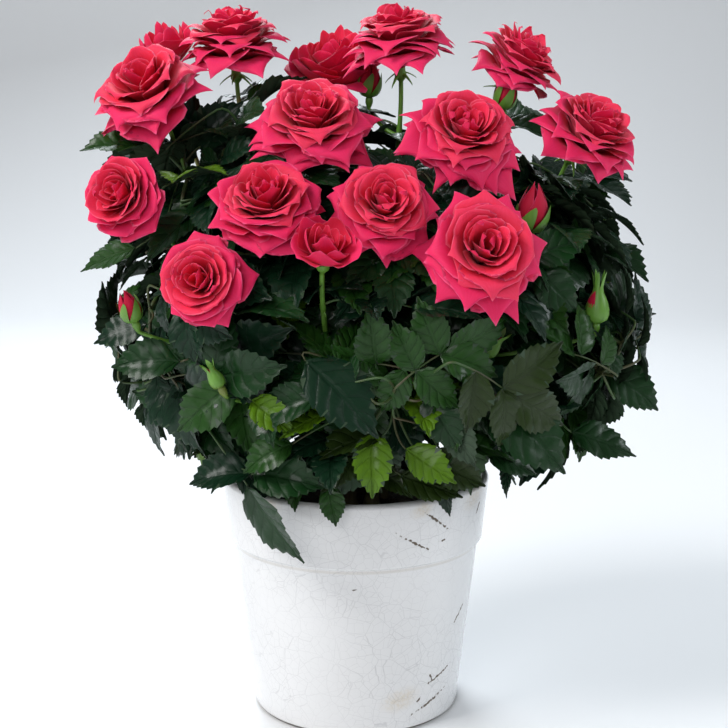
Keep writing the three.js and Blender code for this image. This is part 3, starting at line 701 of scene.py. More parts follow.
cane_curves = []
for azimuth in cane_azimuths:
    neck = towards(azimuth, cane_foot_reach, soil_top + gap + cane_flare_height)
    tip = towards(azimuth, cane_tip_reach, cane_tip_height)
    belly = towards(azimuth, cane_foot_reach + cane_belly * (cane_tip_reach - cane_foot_reach),
                    (neck[2] + tip[2]) / 2 + cane_belly_rise)
    cane_curves.append([neck, belly, tip])

cane_finish = bark()
cane_rows = []
for number, (azimuth, corners) in enumerate(zip(cane_azimuths, cane_curves), start=1):
    foot = towards(azimuth, cane_foot_reach, soil_top + gap)
    flare = [foot + up * cane_flare_height * share for share in cane_flare_shares]
    flare_radii = [cane_foot_radius + (cane_flare_radius - cane_foot_radius) * (1 - share) ** 2
                   for share in cane_flare_shares]
    points = np.array(flare + curve(corners, cane_steps))
    radii = np.array(flare_radii + [
        cane_foot_radius + (cane_tip_radius - cane_foot_radius) * share
        + cane_joint_swell * math.exp(-((share * cane_joints % 1 - 0.5) / 0.09) ** 2)
        for share in np.linspace(0, 1, cane_steps)])
    radii[-2:] *= (0.96, 0.8)
    cane_rows.append((points, radii))
    draw = seeded(cane_seed + number * cane_seed_step)
    shapes = [limb(points, radii, cane_sides, ridge=cane_ridge, seed=number * 7),
              *prickles(points, radii, cane_prickles, draw, cane_prickle_length)]
    cane = joined(f"rose_cane_{number}", shapes, [cane_finish])
    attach(cane, "root")
    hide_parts(f"cane_{number}")

# Flower shoots: slim green stems, one under each bloom, that leave the canes
# and swell into a smooth hip with five sepals folded back under the petals.
# Blooms: middle, width, yaw and pitch of the heart, how cupped, and the cane
bloom_rows = [
    ((-111, -35, 356), 70, -30, 48, 0.0, 1),
    ((-110, 28, 382), 32, -60, 76, 1.0, 6),
    ((-69, 10, 385), 65, -20, 80, 0.0, 6),
    ((-12, 24, 372), 54, 0, 66, 0.6, 6),
    ((24, -10, 385), 65, -12, 76, 0.0, 5),
    ((-21, -66, 339), 67, 0, 52, 0.0, 2),
    ((-120, -72, 302), 46, -26, 18, 0.3, 1),
    ((-44, -100, 300), 58, -2, 50, 0.2, 2),
    ((-75, -112, 262), 49, -14, 18, 0.2, 1),
    ((-14, -120, 280), 31, 8, 46, 0.9, 2),
    ((15, -98, 298), 57, 6, 32, 0.1, 3),
    ((56, -72, 333), 65, 10, 42, 0.0, 3),
    ((63, -115, 277), 66, 8, 27, 0.0, 3),
    ((92, 4, 373), 58, 62, 56, 0.1, 4),
    ((128, -28, 335), 62, 48, 50, 0.1, 4),
    ((-98, 66, 284), 58, -130, 46, 0.0, 6),
    ((-34, 104, 268), 52, -168, 34, 0.2, 5),
    ((34, 92, 304), 60, 166, 48, 0.0, 5),
    ((94, 78, 272), 54, 132, 40, 0.2, 4),
]
open_height = 0.56
cup_height = 0.3
shoot_foot_radius = 1.75
shoot_neck_radius = 1.25
hip_length = 6
# The hip: how far along it, and its radius there
hip_shape = ((0.12, 1.9), (0.25, 2.7), (0.45, 3.4), (0.7, 3.2), (1, 2.7), (1.5, 2.6),
             (2.2, 1.2))
shoot_first = 0.3
shoot_last = 0.76
shoot_spread = 0.5
shoot_lead = 0.35
shoot_swing = 0.3
shoot_upright = 0.35
shoot_steps = 44
shoot_sides = 12
shoot_joints = 3.2
shoot_joint_swell = 0.3
shoot_prickles = 3
shoot_prickle_length = 2.6
shoot_seed = 1201
shoot_seed_step = 13
sepal_count = 5
sepal_length = 11
sepal_width = 0.15
sepal_steps = 8
sepal_curl = 25
sepal_thickness = 0.35
sepal_spread_open = 104
sepal_spread_cupped = 20
# The ring that the sepals grow from: how far under the bloom, and its radius
collar_drop = 1.5
collar_radius = 1.6
stem_greens = ((0.07, 0.19, 0.02, 1), (0.16, 0.34, 0.045, 1))
stem_blush = (0.25, 0.08, 0.05, 1)


def closed_blade(front, thickness, finishes=(0, 0)):
    """A thin closed blade from a grid of points: a front, and a back that shares its
    margin. The grid's rows run from the root to the tip, its columns left to right."""
    rows, columns = front.shape[:2]
    across = np.gradient(front, axis=1)
    along = np.gradient(front, axis=0)
    normal = np.cross(across, along)
    normal /= np.linalg.norm(normal, axis=2)[..., None] + 1e-9
    inner = (slice(1, rows - 1), slice(1, columns - 1))
    back = (front - normal * thickness)[inner].reshape(-1, 3)
    ahead = np.arange(rows * columns).reshape(rows, columns)
    behind = ahead.copy()
    behind[inner] = rows * columns + np.arange(len(back)).reshape(rows - 2, columns - 2)

    def cells(grid):
        return np.stack([grid[:-1, :-1], grid[:-1, 1:], grid[1:, 1:], grid[1:, :-1]],
                        axis=-1).reshape(-1, 4)
    place = np.stack(np.meshgrid(np.linspace(0, 1, columns), np.linspace(0, 1, rows)), axis=-1)
    blade = np.stack([place[:-1, :-1], place[:-1, 1:], place[1:, 1:], place[1:, :-1]],
                     axis=2).reshape(-1, 4, 2)
    margin = np.ones((rows, columns), bool)
    margin[inner] = False
    count = (rows - 1) * (columns - 1)
    return {
        "points": np.concatenate([front.reshape(-1, 3), back]),
        "quads": np.concatenate([cells(ahead), cells(behind)[:, ::-1]]),
        "blade": np.concatenate([blade, blade[:, ::-1]]),
        "finish": np.repeat(finishes, count),
        "margin": np.concatenate([margin.ravel(), np.zeros(len(back), bool)]),
    }


def give_islands(blades):
    """A place of its own on the bake map for the front and the back of each blade."""
    side = math.ceil(math.sqrt(2 * len(blades)))
    for number, shape in enumerate(blades):
        half = len(shape["quads"]) // 2
        island = np.empty_like(shape["blade"])
        for order, part in enumerate((slice(0, half), slice(half, None))):
            row, column = divmod(2 * number + order, side)
            corner = np.array([column, row]) + 0.08
            island[part] = (corner + shape["blade"][part] * 0.84) / side
        shape["island"] = island
    return blades


def heading(yaw, pitch):
    """The direction that faces a yaw and a pitch in degrees, 0 at the front."""
    level = math.cos(math.radians(pitch))
    return np.array([math.sin(math.radians(yaw)) * level, -math.cos(math.radians(yaw)) * level,
                     math.sin(math.radians(pitch))])


def frame_about(axis, spin=0.0):
    """Two directions square to an axis, turned round it by an angle in radians."""
    first = np.cross(axis, up)
    first = unit(first) if np.linalg.norm(first) > 0.05 else np.array([1.0, 0.0, 0.0])
    second = np.cross(axis, first)
    return (first * math.cos(spin) + second * math.sin(spin),
            second * math.cos(spin) - first * math.sin(spin))


flowers = []
for at, width, yaw, pitch, cup, cane in bloom_rows:
    axis = heading(yaw, pitch)
    height = width * (open_height + cup_height * cup)
    seat = np.array(at, float) - axis * height / 2
    flowers.append({"middle": np.array(at, float), "axis": axis, "height": height,
                    "width": width, "cup": cup, "seat": seat, "cane": cane - 1})

for flower in flowers:
    mates = [other for other in flowers if other["cane"] == flower["cane"]]
    lower = sum(other["seat"][2] < flower["seat"][2] for other in mates)
    share = lower / (len(mates) - 1) if len(mates) > 1 else 0.5
    on_cane = shoot_first + (shoot_last - shoot_first) * share
    corners = cane_curves[flower["cane"]]
    start = curve_point(corners, on_cane)
    cane_way = unit(curve_point(corners, on_cane + 0.01) - start)
    hip_foot = flower["seat"] - flower["axis"] * (gap + hip_length)
    length = np.linalg.norm(hip_foot - start)
    aside = square_to(cane_way, hip_foot - start)
    lead = cane_way + (aside - cane_way) * shoot_spread
    swing = flower["axis"] + (up - flower["axis"]) * shoot_upright
    flower["path"] = [start, start + lead * length * shoot_lead,
                      hip_foot - swing * length * shoot_swing, hip_foot]
    points = curve(flower["path"], shoot_steps)
    radii = [shoot_foot_radius + (shoot_neck_radius - shoot_foot_radius) * share
             + shoot_joint_swell * math.exp(-((share * shoot_joints % 1 - 0.6) / 0.05) ** 2)
             for share in np.linspace(0, 1, shoot_steps)]
    for out, radius in hip_shape:
        points.append(hip_foot + flower["axis"] * hip_length * out)
        radii.append(radius)
    flower["points"] = np.array(points)
    flower["radii"] = np.array(radii)


def sepal(root, out, axis, length, spread):
    """A narrow sepal that curls back from the hip, pointed, with a raised rib."""
    side = np.cross(axis, out)
    grid = []
    place = root.copy()
    for step, share in enumerate(np.linspace(0, 1, sepal_steps + 1)):
        bend = math.radians(spread) + math.radians(sepal_curl) * share
        way = out * math.sin(bend) + axis * math.cos(bend)
        face = out * math.cos(bend) - axis * math.sin(bend)
        if step:
            place = place + way * length / sepal_steps
        half = max(length * sepal_width * (1 - share) ** 0.8, 0.12)
        grid.append([place + side * half * s - face * half * 0.35 * (1 - abs(s))
                     for s in (-1, -0.5, 0, 0.5, 1)])
    return closed_blade(np.array(grid), sepal_thickness)


def stem_green():
    """Young stem skin, fresh green, with a blush where the sun reaches it."""
    made, tree, shader = material("stem_green", Roughness=0.42)
    position = object_place(tree)
    streaks = clouds(tree, stretched(tree, position, (1, 1, 0.2)), 500, 3)
    blush = smooth_step(tree, clouds(tree, position, 28, 2), 0.58, 0.75, 0, 0.55)
    colour = blend_colour(tree, streaks, *stem_greens)
    tree.links.new(blend_colour(tree, blush, colour, stem_blush), shader.inputs["Base Color"])
    relief(tree, streaks, 0.3, 0.2, shader)
    return made


stem_finish = stem_green()
for number, flower in enumerate(flowers, start=1):
    draw = seeded(shoot_seed + number * shoot_seed_step)
    shapes = [limb(flower["points"], flower["radii"], shoot_sides),
              *prickles(flower["points"], flower["radii"], shoot_prickles, draw,
                        shoot_prickle_length)]
    shoot = joined(f"flower_shoot_{number:02d}", shapes, [stem_finish])
    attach(shoot, "root")
    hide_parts(f"shoot_{number:02d}")
    axis = flower["axis"]
    collar = flower["seat"] - axis * collar_drop
    spread = sepal_spread_open + (sepal_spread_cupped - sepal_spread_open) * flower["cup"]
    blades = []
    for order in range(sepal_count):
        out = frame_about(axis, order * 2 * math.pi / sepal_count + number)[0]
        blades.append(sepal(collar + out * collar_radius, out, axis,
                            sepal_length * draw(0.8, 1.05), spread * draw(0.9, 1.15)))
    calyx = joined(f"sepals_{number:02d}", give_islands(blades), [stem_finish])
    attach(calyx, "root")

# Blooms: full double roses. Each petal is broad and cupped at its root, and its
# margins roll back as it opens, so that its end draws to a sharp point. They
# overlap in a spiral, from the wide guard petals in to the furled heart.
petal_counts = (30, 18, 56, 34, 54, 56, 38, 50, 32, 17, 46, 56, 36, 48, 50, 44, 44, 46, 44)
usual_petals = 44
bloom_seed = 5003
bloom_seed_step = 101
cup_guards = 2
golden_turn = math.pi * (3 - math.sqrt(5))
petal_thickness = 0.32
petal_shares = np.linspace(0, 1, 12)
# How far petals differ: reach, height of the tip, place round the heart in
# radians, width, roll and pinch of each margin, ripple and slant
petal_reach = (0.88, 1.1)
petal_tip = (-0.14, 0.1)
petal_turn = (-0.35, 0.35)
petal_width = (0.78, 1.15)
petal_roll = (1.1, 2.8)
petal_pinch = (-0.05, 0.5)
petal_ripple = (0.02, 0.08)
petal_slant = (-0.3, 0.3)
whole_turn = (0, 6.28)
# Half a petal across, from its middle to its margin
petal_halves = np.array([0, 0.3, 0.6, 0.84, 1])
# How a petal runs, from the guard petals in to the heart: how far its tip lies
# from the axis, the tip's height, the height and the reach of its shoulder
petal_inward = (0, 0.12, 0.3, 0.55, 0.8, 1)
petal_runs = (
    (1.16, 1.08, 0.96, 0.72, 0.36, 0.05),
    (0.0, 0.18, 0.42, 0.68, 0.88, 0.9),
    (0.42, 0.58, 0.8, 1.02, 1.1, 1.02),
    (0.55, 0.6, 0.68, 0.82, 1.1, 1.6),
)
cup_runs = (
    (0.92, 0.9, 0.8, 0.55, 0.28, 0.05),
    (0.84, 0.86, 0.9, 0.94, 0.95, 0.9),
    (0.3, 0.34, 0.4, 0.5, 0.6, 0.7),
    (1.3, 1.3, 1.3, 1.35, 1.5, 1.8),
)
cup_guard = (1.18, 0.62, 0.66, 1.0)
# Half a petal's width in radii of the bloom, from the guards in to the heart
petal_half_widths = ((0, 0.5, 1), (0.6, 0.44, 0.17))


def petal_line(flower, inward, guard, draw):
    """A petal's middle line, from its root to its tip: how far out and how high."""
    cup, radius, height = flower["cup"], flower["width"] / 2, flower["height"]
    run = np.array([np.interp(inward, petal_inward, row) for row in petal_runs])
    shut = np.array([np.interp(inward, petal_inward, row) for row in cup_runs])
    if cup > 0.5 and guard:
        shut = np.array(cup_guard)
    reach, tip, crest, shoulder = run + (shut - run) * cup
    reach *= radius * draw(*petal_reach)
    tip = height * (tip + draw(*petal_tip))
    corners = [np.array([radius * 0.05, height * (0.02 + 0.14 * inward)]),
               np.array([reach * shoulder, height * crest]), np.array([reach, tip])]
    return np.array([curve_point(corners, share) for share in petal_shares])


def petal_spread(cup, inward, half_width, draw):
    """How far a petal's points lie aside from its middle line, and how far above it."""
    late = np.clip(petal_shares * 2 - 1, 0, 1)
    early = np.clip(petal_shares * 2, 0, 1)
    cupped = np.interp(petal_shares, (0, 0.5, 1), (1.2 + 0.4 * inward, 0.5 + 0.4 * inward,
                                                  -0.3 + 0.2 * inward + 0.9 * cup))
    middles = (petal_halves[1:] + petal_halves[:-1]) / 2
    rolled = np.clip((middles - 0.35) / 0.65, 0, 1) ** 1.3
    sides = []
    for hand in (-1, 1):
        roll = draw(*petal_roll) * (1 - 0.3 * inward) * (1 - 0.7 * cup)
        pinch = draw(*petal_pinch)
        girth = (0.2 + 0.8 * np.sin(early * math.pi / 2)) * (1 - late) ** (1.12 - 0.5 * cup)
        girth = half_width * girth * (1 - pinch * np.sin(np.pi * late)) + 0.03
        bends = cupped[:, None] * middles - roll * rolled * petal_shares[:, None] ** 1.4
        steps = np.diff(petal_halves) * girth[:, None]
        wide = np.cumsum(np.cos(bends) * steps, axis=1)
        lift = np.cumsum(np.sin(bends) * steps, axis=1)
        order_out = slice(None, None, hand)
        sides.append((hand * wide[:, order_out], lift[:, order_out]))
    empty = np.zeros((len(petal_shares), 1))
    return [np.concatenate([left, empty, right], axis=1) for left, right in zip(*sides)]


def petal(flower, order, count, draw):
    """One petal of a bloom. Order 0 is the outermost, and the last is the heart."""
    inward = order / (count - 1)
    cup, radius = flower["cup"], flower["width"] / 2
    line = petal_line(flower, inward, order < cup_guards, draw)
    way = np.gradient(line, axis=0)
    way /= np.linalg.norm(way, axis=1)[:, None] + 1e-9
    rise = np.stack([-way[:, 1], way[:, 0]], axis=1)
    turn = order * golden_turn + draw(*petal_turn)
    turn += 0.5 * math.sin(3 * turn) * max(inward - 0.5, 0) * 2
    out, side = frame_about(flower["axis"], turn)
    half_width = radius * np.interp(inward, *petal_half_widths) * draw(*petal_width)
    half_width *= (1 + 0.5 * cup) * (usual_petals / count) ** (0.4 * (1 - cup))
    wide, lift = petal_spread(cup, inward, half_width, draw)
    ripple = draw(*petal_ripple) * radius
    phase = draw(*whole_turn)
    slant = draw(*petal_slant)
    lift += ripple * np.sin(wide / radius * 5 + phase) * petal_shares[:, None] ** 2
    radial = line[:, :1] + rise[:, :1] * lift
    level = line[:, 1:] + rise[:, 1:] * lift
    grid = (out * radial[..., None] - side * (wide + slant * radial * 0.4)[..., None]
            + flower["axis"] * level[..., None])
    return closed_blade(flower["seat"] + grid, petal_thickness, (int(inward < 0.4), 2))


def blade_place(tree):
    """A blade's own map: its places, how far across from the middle, how far along."""
    place = node(tree, "ShaderNodeUVMap", uv_map="blade").outputs["UV"]
    parts = node(tree, "ShaderNodeSeparateXYZ", {"Vector": place})
    aside = calc(tree, "ABSOLUTE", calc(tree, "SUBTRACT", parts.outputs["X"], 0.5))
    return place, calc(tree, "MULTIPLY", aside, 2), parts.outputs["Y"]


def petal_skin():
    """Colour and relief of a petal: deep at its root, pinker out to a light
    margin, with fine veins that fan out along it."""
    tree, given, ends = node_group("petal_skin", {"Heart": "Color", "Middle": "Color",
                                                  "Rim": "Color"},
                                   {"Colour": "Color", "Normal": "Vector"})
    heart, middle, rim = [given.outputs[part] for part in ("Heart", "Middle", "Rim")]
    place, across, along = blade_place(tree)
    outer = smooth_step(tree, along, 0.2, 0.7)
    colour = blend_colour(tree, outer, heart, middle)
    edge = calc(tree, "MAXIMUM", smooth_step(tree, across, 0.8, 1.0),
                smooth_step(tree, along, 0.9, 1.0))
    colour = blend_colour(tree, calc(tree, "MULTIPLY", edge, 0.7), colour, rim)
    veins = clouds(tree, stretched(tree, place, (34, 2.2, 1)), 1, 3)
    shade = smooth_step(tree, veins, 0.3, 0.7, 0.0, 0.2)
    tree.links.new(blend_colour(tree, shade, colour, heart), ends.inputs["Colour"])
    relief(tree, veins, 0.25, 0.25, ends)
    return tree


petal_skin_group = petal_skin()


def petal_material(name, heart, middle, rim):
    """Velvety petal that lets a little light through."""
    made, tree, shader = material(name, Roughness=0.62, Sheen_Weight=0.12, Sheen_Roughness=0.4,
                                  Specular_IOR_Level=0.2, Subsurface_Weight=0.2,
                                  Subsurface_Scale=2 * mm)
    shader.inputs["Subsurface Radius"].default_value = (1.0, 0.25, 0.3)
    shader.inputs["Sheen Tint"].default_value = (1, 0.5, 0.6, 1)
    skin = node(tree, "ShaderNodeGroup", {"Heart": heart, "Middle": middle, "Rim": rim},
                node_tree=petal_skin_group)
    tree.links.new(skin.outputs["Colour"], shader.inputs["Base Color"])
    tree.links.new(skin.outputs["Normal"], shader.inputs["Normal"])
    return made


petal_finishes = [
    petal_material("petal_inner", (0.74, 0.008, 0.028, 1), (0.87, 0.038, 0.11, 1),
                   (0.95, 0.14, 0.25, 1)),
    petal_material("petal_outer", (0.7, 0.006, 0.045, 1), (0.84, 0.024, 0.125, 1),
                   (0.93, 0.12, 0.28, 1)),
    petal_material("petal_back", (0.46, 0.005, 0.03, 1), (0.68, 0.013, 0.08, 1),
                   (0.84, 0.06, 0.18, 1)),
]
for number, (flower, count) in enumerate(zip(flowers, petal_counts), start=1):
    draw = seeded(bloom_seed + number * bloom_seed_step)
    petals = [petal(flower, order, count, draw) for order in range(count)]
    rose = joined(f"rose_bloom_{number:02d}", give_islands(petals), petal_finishes)
    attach(rose, "root")
    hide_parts(f"bloom_{number:02d}")

# Buds: deep red petals furled in five green sepals, each bud on a thin stem of
# its own that leaves the nearest shoot.
# Middle, length, yaw, pitch and how far the sepals cover the petals
bud_rows = (
    ((92, -70, 295), 27, 12, 76, 0.6), ((128, -62, 243), 20, 10, 84, 1.45),
    ((-115, -88, 246), 18, -40, 66, 0.75), ((83, -10, 355), 20, 20, 72, 0.8),
    ((8, 14, 363), 21, 10, 80, 0.7), ((-60, 80, 300), 20, -160, 70, 0.8),
    ((70, -92, 226), 13, 60, 50, 1.35), ((-70, -104, 212), 12, -60, 60, 1.3),
)
bud_girth = 0.3
bud_thickness = 0.3
bud_scales = 5
bud_petal_spread = 1.15
bud_sepal_spread = 0.66
bud_closed_spread = 1.1
bud_sepal_lift = 1.9
bud_stem_steps = 14
bud_stem_sides = 9
bud_stem_radii = (1.3, 1.0)
# How far under a bud its neck starts, and how far under that its stem leaves wood
bud_heel_drop = 6
bud_foot_drop = 14
bud_wood_radius = 1.6
# The neck of a bud: how far below its seat, and its radius there
bud_neck = ((4.5, 1.6), (2.5, 2.2), (0.5, 2.2), (-1.5, 1.2))


def bud_scale(seat, axis, length, turn, cover, spread, lift):
    """A petal or a sepal that hugs a bud, as wide round it as its spread."""
    first, second = frame_about(axis, turn)
    grid = []
    for share in np.linspace(0, 1, 11):
        along = share * cover
        girth = length * bud_girth * max(math.sin(math.pi * along ** 0.62), 0) ** 0.8
        girth = max(girth, 0.5 + along * 0.8) + lift * (0.3 + share ** 3)
        wide = spread * (1 - share) ** 0.6 + 0.03
        turns = 0.9 * share + wide * np.linspace(-1, 1, 7)
        grid.append(seat + axis * length * along
                    + girth * (np.cos(turns)[:, None] * first + np.sin(turns)[:, None] * second))
    return closed_blade(np.array(grid), bud_thickness)


wood_points = np.concatenate([flower["points"] for flower in flowers]
                             + [points for points, _ in cane_rows])
wood_radii = np.concatenate([flower["radii"] for flower in flowers]
                            + [radii for _, radii in cane_rows])
buds, bud_petals, bud_greens, bud_stems = [], [], [], []
for number, (middle, length, yaw, pitch, cover) in enumerate(bud_rows):
    axis = heading(yaw, pitch)
    seat = np.array(middle, float) - axis * length / 2
    sepal_spread = bud_closed_spread if cover > 0.9 else bud_sepal_spread
    for order in range(bud_scales):
        turn = order * 2 * math.pi / bud_scales + number
        bud_petals.append(bud_scale(seat + axis, axis, length, turn, 1 - 0.03 * order,
                                    bud_petal_spread, 0.15 + 0.12 * order))
        bud_greens.append(bud_scale(seat, axis, length, turn + 0.5, cover, sepal_spread,
                                    bud_sepal_lift))
    heel = seat - axis * bud_heel_drop
    below = wood_points[wood_points[:, 2] < heel[2] - bud_foot_drop]
    foot = below[int(np.argmin(np.linalg.norm(below - heel, axis=1)))]
    row = curve([foot, foot * 0.4 + heel * 0.6 - up * 6, heel], bud_stem_steps)
    radii = list(np.linspace(*bud_stem_radii, bud_stem_steps))
    for below_seat, radius in bud_neck:
        row.append(seat - axis * below_seat)
        radii.append(radius)
    bud_stems.append(limb(row, radii, bud_stem_sides))
    reach = length * max(cover, 1)
    buds.append({"middle": seat + axis * reach / 2, "axis": axis, "half": reach / 2,
                 "girth": length * bud_girth + 1, "row": row})
wood_points = np.concatenate([wood_points] + [bud["row"][3:] for bud in buds])
wood_radii = np.concatenate([wood_radii, np.full(len(wood_points) - len(wood_radii),
                                                 bud_wood_radius)])
bud_finish = petal_material("petal_bud", (0.34, 0.003, 0.018, 1), (0.52, 0.008, 0.045, 1),
                            (0.68, 0.03, 0.1, 1))
bud_flower = joined("bud_petals", give_islands(bud_petals), [bud_finish])
bud_green = joined("bud_sepals", give_islands(bud_greens), [stem_finish])
bud_stem = joined("bud_stems", bud_stems, [stem_finish])
for piece, slot in ((bud_flower, "petal_red"), (bud_green, "shoot_green"),
                    (bud_stem, "shoot_green")):
    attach(piece, "root")

# Masses of leaves: nine leafy growths, five low on the sides of the canes and
# four on their tips. Each keeps to its own part of the crown. A leaf has five
# toothed leaflets, dark and glossy, lighter below.
mass_overlap = 14
# The crown: an oval in mm, deeper below its widest level than above it, and how
# far leaves may stand out of it
crown_centre = np.array([12.0, 0.0, 238.0])
crown_radii = np.array([150.0, 118.0, 100.0])
crown_drop = 128.0
crown_slack = 1.07
outline_slack = 0.05
# Each mass: its place, its azimuth in degrees and its cane
low_masses = (("left", -155, 1), ("front", -82, 2), ("right", -10, 4), ("back_right", 62, 5),
              ("back_left", 134, 6))
high_masses = (("left", -150, 1), ("front", -62, 3), ("right", 12, 4), ("back", 106, 5))
# The heart of a mass: how far out and how high it lies, where its stem leaves
# the cane, how far its leaves fan out from, and its seeds
low_heart = {"share": 0.52, "height": 186, "stem": 0.2, "lift": 16, "seed": 211, "step": 17}
high_heart = {"share": 0.34, "height": 274, "stem": 0.99, "lift": 6, "seed": 929, "step": 23}
# Shells of the crown: leaves looked for in each, and its size
crown_layers = ((230, 1.0), (160, 0.86), (90, 0.68), (30, 0.46))
crown_swell = (0.92, 1.07)
crown_top = 0.98
crown_span = 1.68
crown_seed = 4409
# Wood: the stem of a mass, its twigs and the stalks of its leaves, in mm
stem_radii = (2.4, 1.8)
stem_sides = 8
stem_steps = 20
stem_tries = 120
stem_sway = 3
stem_sway_step = 0.3
stem_belly = (-4, 8)
twig_radii = (1.2, 0.9)
twig_sides = 7
stalk_radii = (0.8, 0.45)
stalk_sides = 6
stalk_steps = 7
# Points at the foot of each that may touch the wood it leaves, and points of a
# stem that bear nothing yet
stem_heel = 6
twig_heel = 3
stalk_heel = 2
stem_bare = 8
stalk_lead = 0.33
wood_behind = 0.45
stalk_bend_least = 0.08
twig_setback = 14
twig_bow = 5
twig_nodes = (0.2, 0.4, 0.6, 0.8, 0.94)
stalk_longest = 30
# A leaf: two pairs of leaflets and one at the end. Each pair has its place on
# the stalk, its size and its angle
leaf_reach = 34
leaf_end_stalk = 7
leaflet_length = 43
leaflet_width = 0.6
leaflet_thickness = 0.011
leaflet_pairs = ((0.42, 0.8, 72), (1.0, 0.95, 64))
leaflet_fold = (0.3, 0.75)
leaflet_arch = (0.2, 1.0)
leaflet_wave = (0.03, 0.1)
leaflet_twist = (-0.4, 0.4)
leaflet_teeth = (0.955, 1.045)
# How a leaf lies: faced up and out, with room to turn, roll and droop
leaf_face_up = (0.3, 1.5)
leaf_face_out = (0.2, 0.9)
leaf_droop = 0.34
leaf_lift = 5
leaf_overhang = 0.45
leaf_rise = (-0.1, 0.3)
leaf_scale = (0.78, 1.12)
leaf_turn_least = 22
leaf_turn_step = 6
leaf_turn_most = 85
leaf_roll = 0.7
leaflet_roll = 0.4
leaf_depth = 45
leaf_tries = 80
leaflet_spacing = 8.8
leaflet_rows = 21
leaflet_veins = 6
leaflet_relief = 1.0
vein_slant = 0.22
# How far apart things stay at least, in mm
pot_clearance = 1.5
stem_clearance = 0.4
twig_clearance = 1.8
stalk_clearance = 1.2
leaflet_clearance = 0.8
# Places on the outline that the tip of a leaf reaches
outline_tips = (
    (-141, -20, 324), (-140, -50, 257), (-126, -60, 203), (-109, -70, 180),
    (-88, -72, 160), (168, -20, 234), (168, -40, 179), (150, -55, 159),
    (108, -85, 157), (150, 5, 290), (-22, -100, 150), (12, -104, 147),
    (-33, -112, 184), (-58, 98, 152), (62, 100, 154), (138, 52, 176),
    (-144, -30, 325), (-137, -60, 259), (-60, 10, 360), (22, 10, 349),
    (154, -20, 305), (102, -40, 300), (66, -78, 150),
)
# Leaflets over the rim and on the outline: root, tip, tint, and roll in degrees
rim_leaflets = (
    ((-56, -88, 152), (-26, -97, 113), 1, 72), ((-54, -88, 158), (-88, -80, 150), 0, 10),
    ((-52, -90, 159), (-14, -98, 153), 1, 10), ((-30, -88, 158), (-31, -93, 139), 2, 40),
    ((-14, -87, 152), (-10, -89, 130), 2, 0), ((9, -98, 182), (9, -105, 149), 3, 0),
    ((49, -86, 155), (50, -88, 135), 0, 60), ((85, -60, 160), (82, -63, 138), 0, 60),
    ((-11, -100, 194), (-38, -110, 181), 3, 30), ((-52, -102, 200), (-30, -108, 184), 3, 20),
    ((-62, -96, 207), (-92, -92, 181), 2, -25), ((-24, -112, 222), (12, -120, 184), 0, 0),
    ((26, -98, 174), (52, -103, 157), 3, 10), ((50, -96, 192), (62, -104, 165), 5, 40),
    ((24, -90, 158), (56, -94, 147), 4, 10), ((66, -88, 190), (98, -90, 166), 1, 0),
    ((14, -94, 180), (-22, -99, 166), 4, 20), ((2, -90, 172), (-10, -96, 152), 4, 0),
    ((36, -92, 168), (68, -90, 152), 4, 20), ((-32, -96, 176), (-58, -96, 160), 2, 0),
    ((-4, -84, 164), (-18, -90, 148), 4, 0), ((12, -84, 160), (30, -92, 146), 4, 0),
    ((0, -88, 170), (14, -96, 150), 4, 10), ((70, -70, 166), (98, -68, 152), 1, 0),
    ((139, -30, 203), (170, -30, 179), 1, 10), ((118, -50, 172), (154, -50, 158), 1, 0),
    ((144, -22, 227), (169, -20, 233), 0, 0), ((72, -90, 198), (110, -86, 157), 1, 10),
    ((37, -100, 203), (54, -104, 173), 1, 20), ((-118, -45, 272), (-148, -45, 259), 2, 10),
    ((-122, -20, 328), (-151, -22, 323), 2, 0), ((-108, -75, 235), (-137, -72, 224), 0, 0),
    ((-90, -85, 217), (-127, -80, 213), 1, 0), ((-95, 0, 322), (-90, -2, 356), 0, 20),
    ((-92, -10, 326), (-62, -8, 350), 0, 30), ((-62, 15, 352), (-45, 15, 358), 2, 0),
)
rim_leaflet_face = np.array([0, -0.75, 0.65])
# How far leaves may pass the solids' box in mm, on its low and its high sides
box_slack = np.array([[-2.0], [1.0]])

masses = []
for level, rows, shared in (("low", low_masses, low_heart), ("high", high_masses, high_heart)):
    for order, (place, azimuth, cane) in enumerate(rows):
        out = towards(azimuth, 1, 0)
        heart = crown_centre + out * crown_radii * shared["share"]
        heart[2] = shared["height"]
        masses.append({
            "name": f"leaves_{level}_{place}", "heart": heart, "lift": shared["lift"],
            "start": curve_point(cane_curves[cane - 1], shared["stem"]),
            "seed": shared["seed"] + shared["step"] * order,
        })
hearts = np.array([mass["heart"] for mass in masses])


def nearest_mass(point):
    """The mass whose heart is nearest."""
    return masses[int(np.argmin(np.linalg.norm(hearts - point, axis=1)))]


def inside_own_space(points, mass):
    """Whether all points lie on this mass's side of every other mass."""
    for other in masses:
        if other is mass:
            continue
        apart = unit(other["heart"] - mass["heart"])
        middle = (mass["heart"] + other["heart"]) / 2
        if ((points - middle) @ apart > mass_overlap).any():
            return False
    return True


def crown_reach(points):
    """The crown's radii at each point, deeper below its widest level."""
    reach = np.broadcast_to(crown_radii, points.shape).copy()
    reach[..., 2] = np.where(points[..., 2] < crown_centre[2], crown_drop, crown_radii[2])
    return reach


def crown_share(points):
    """How far out points lie, 1 on the crown's face."""
    return np.linalg.norm((points - crown_centre) / crown_reach(points), axis=-1)


def crown_facing(point):
    """The direction square to the crown's face."""
    return unit((point - crown_centre) / crown_reach(point) ** 2)


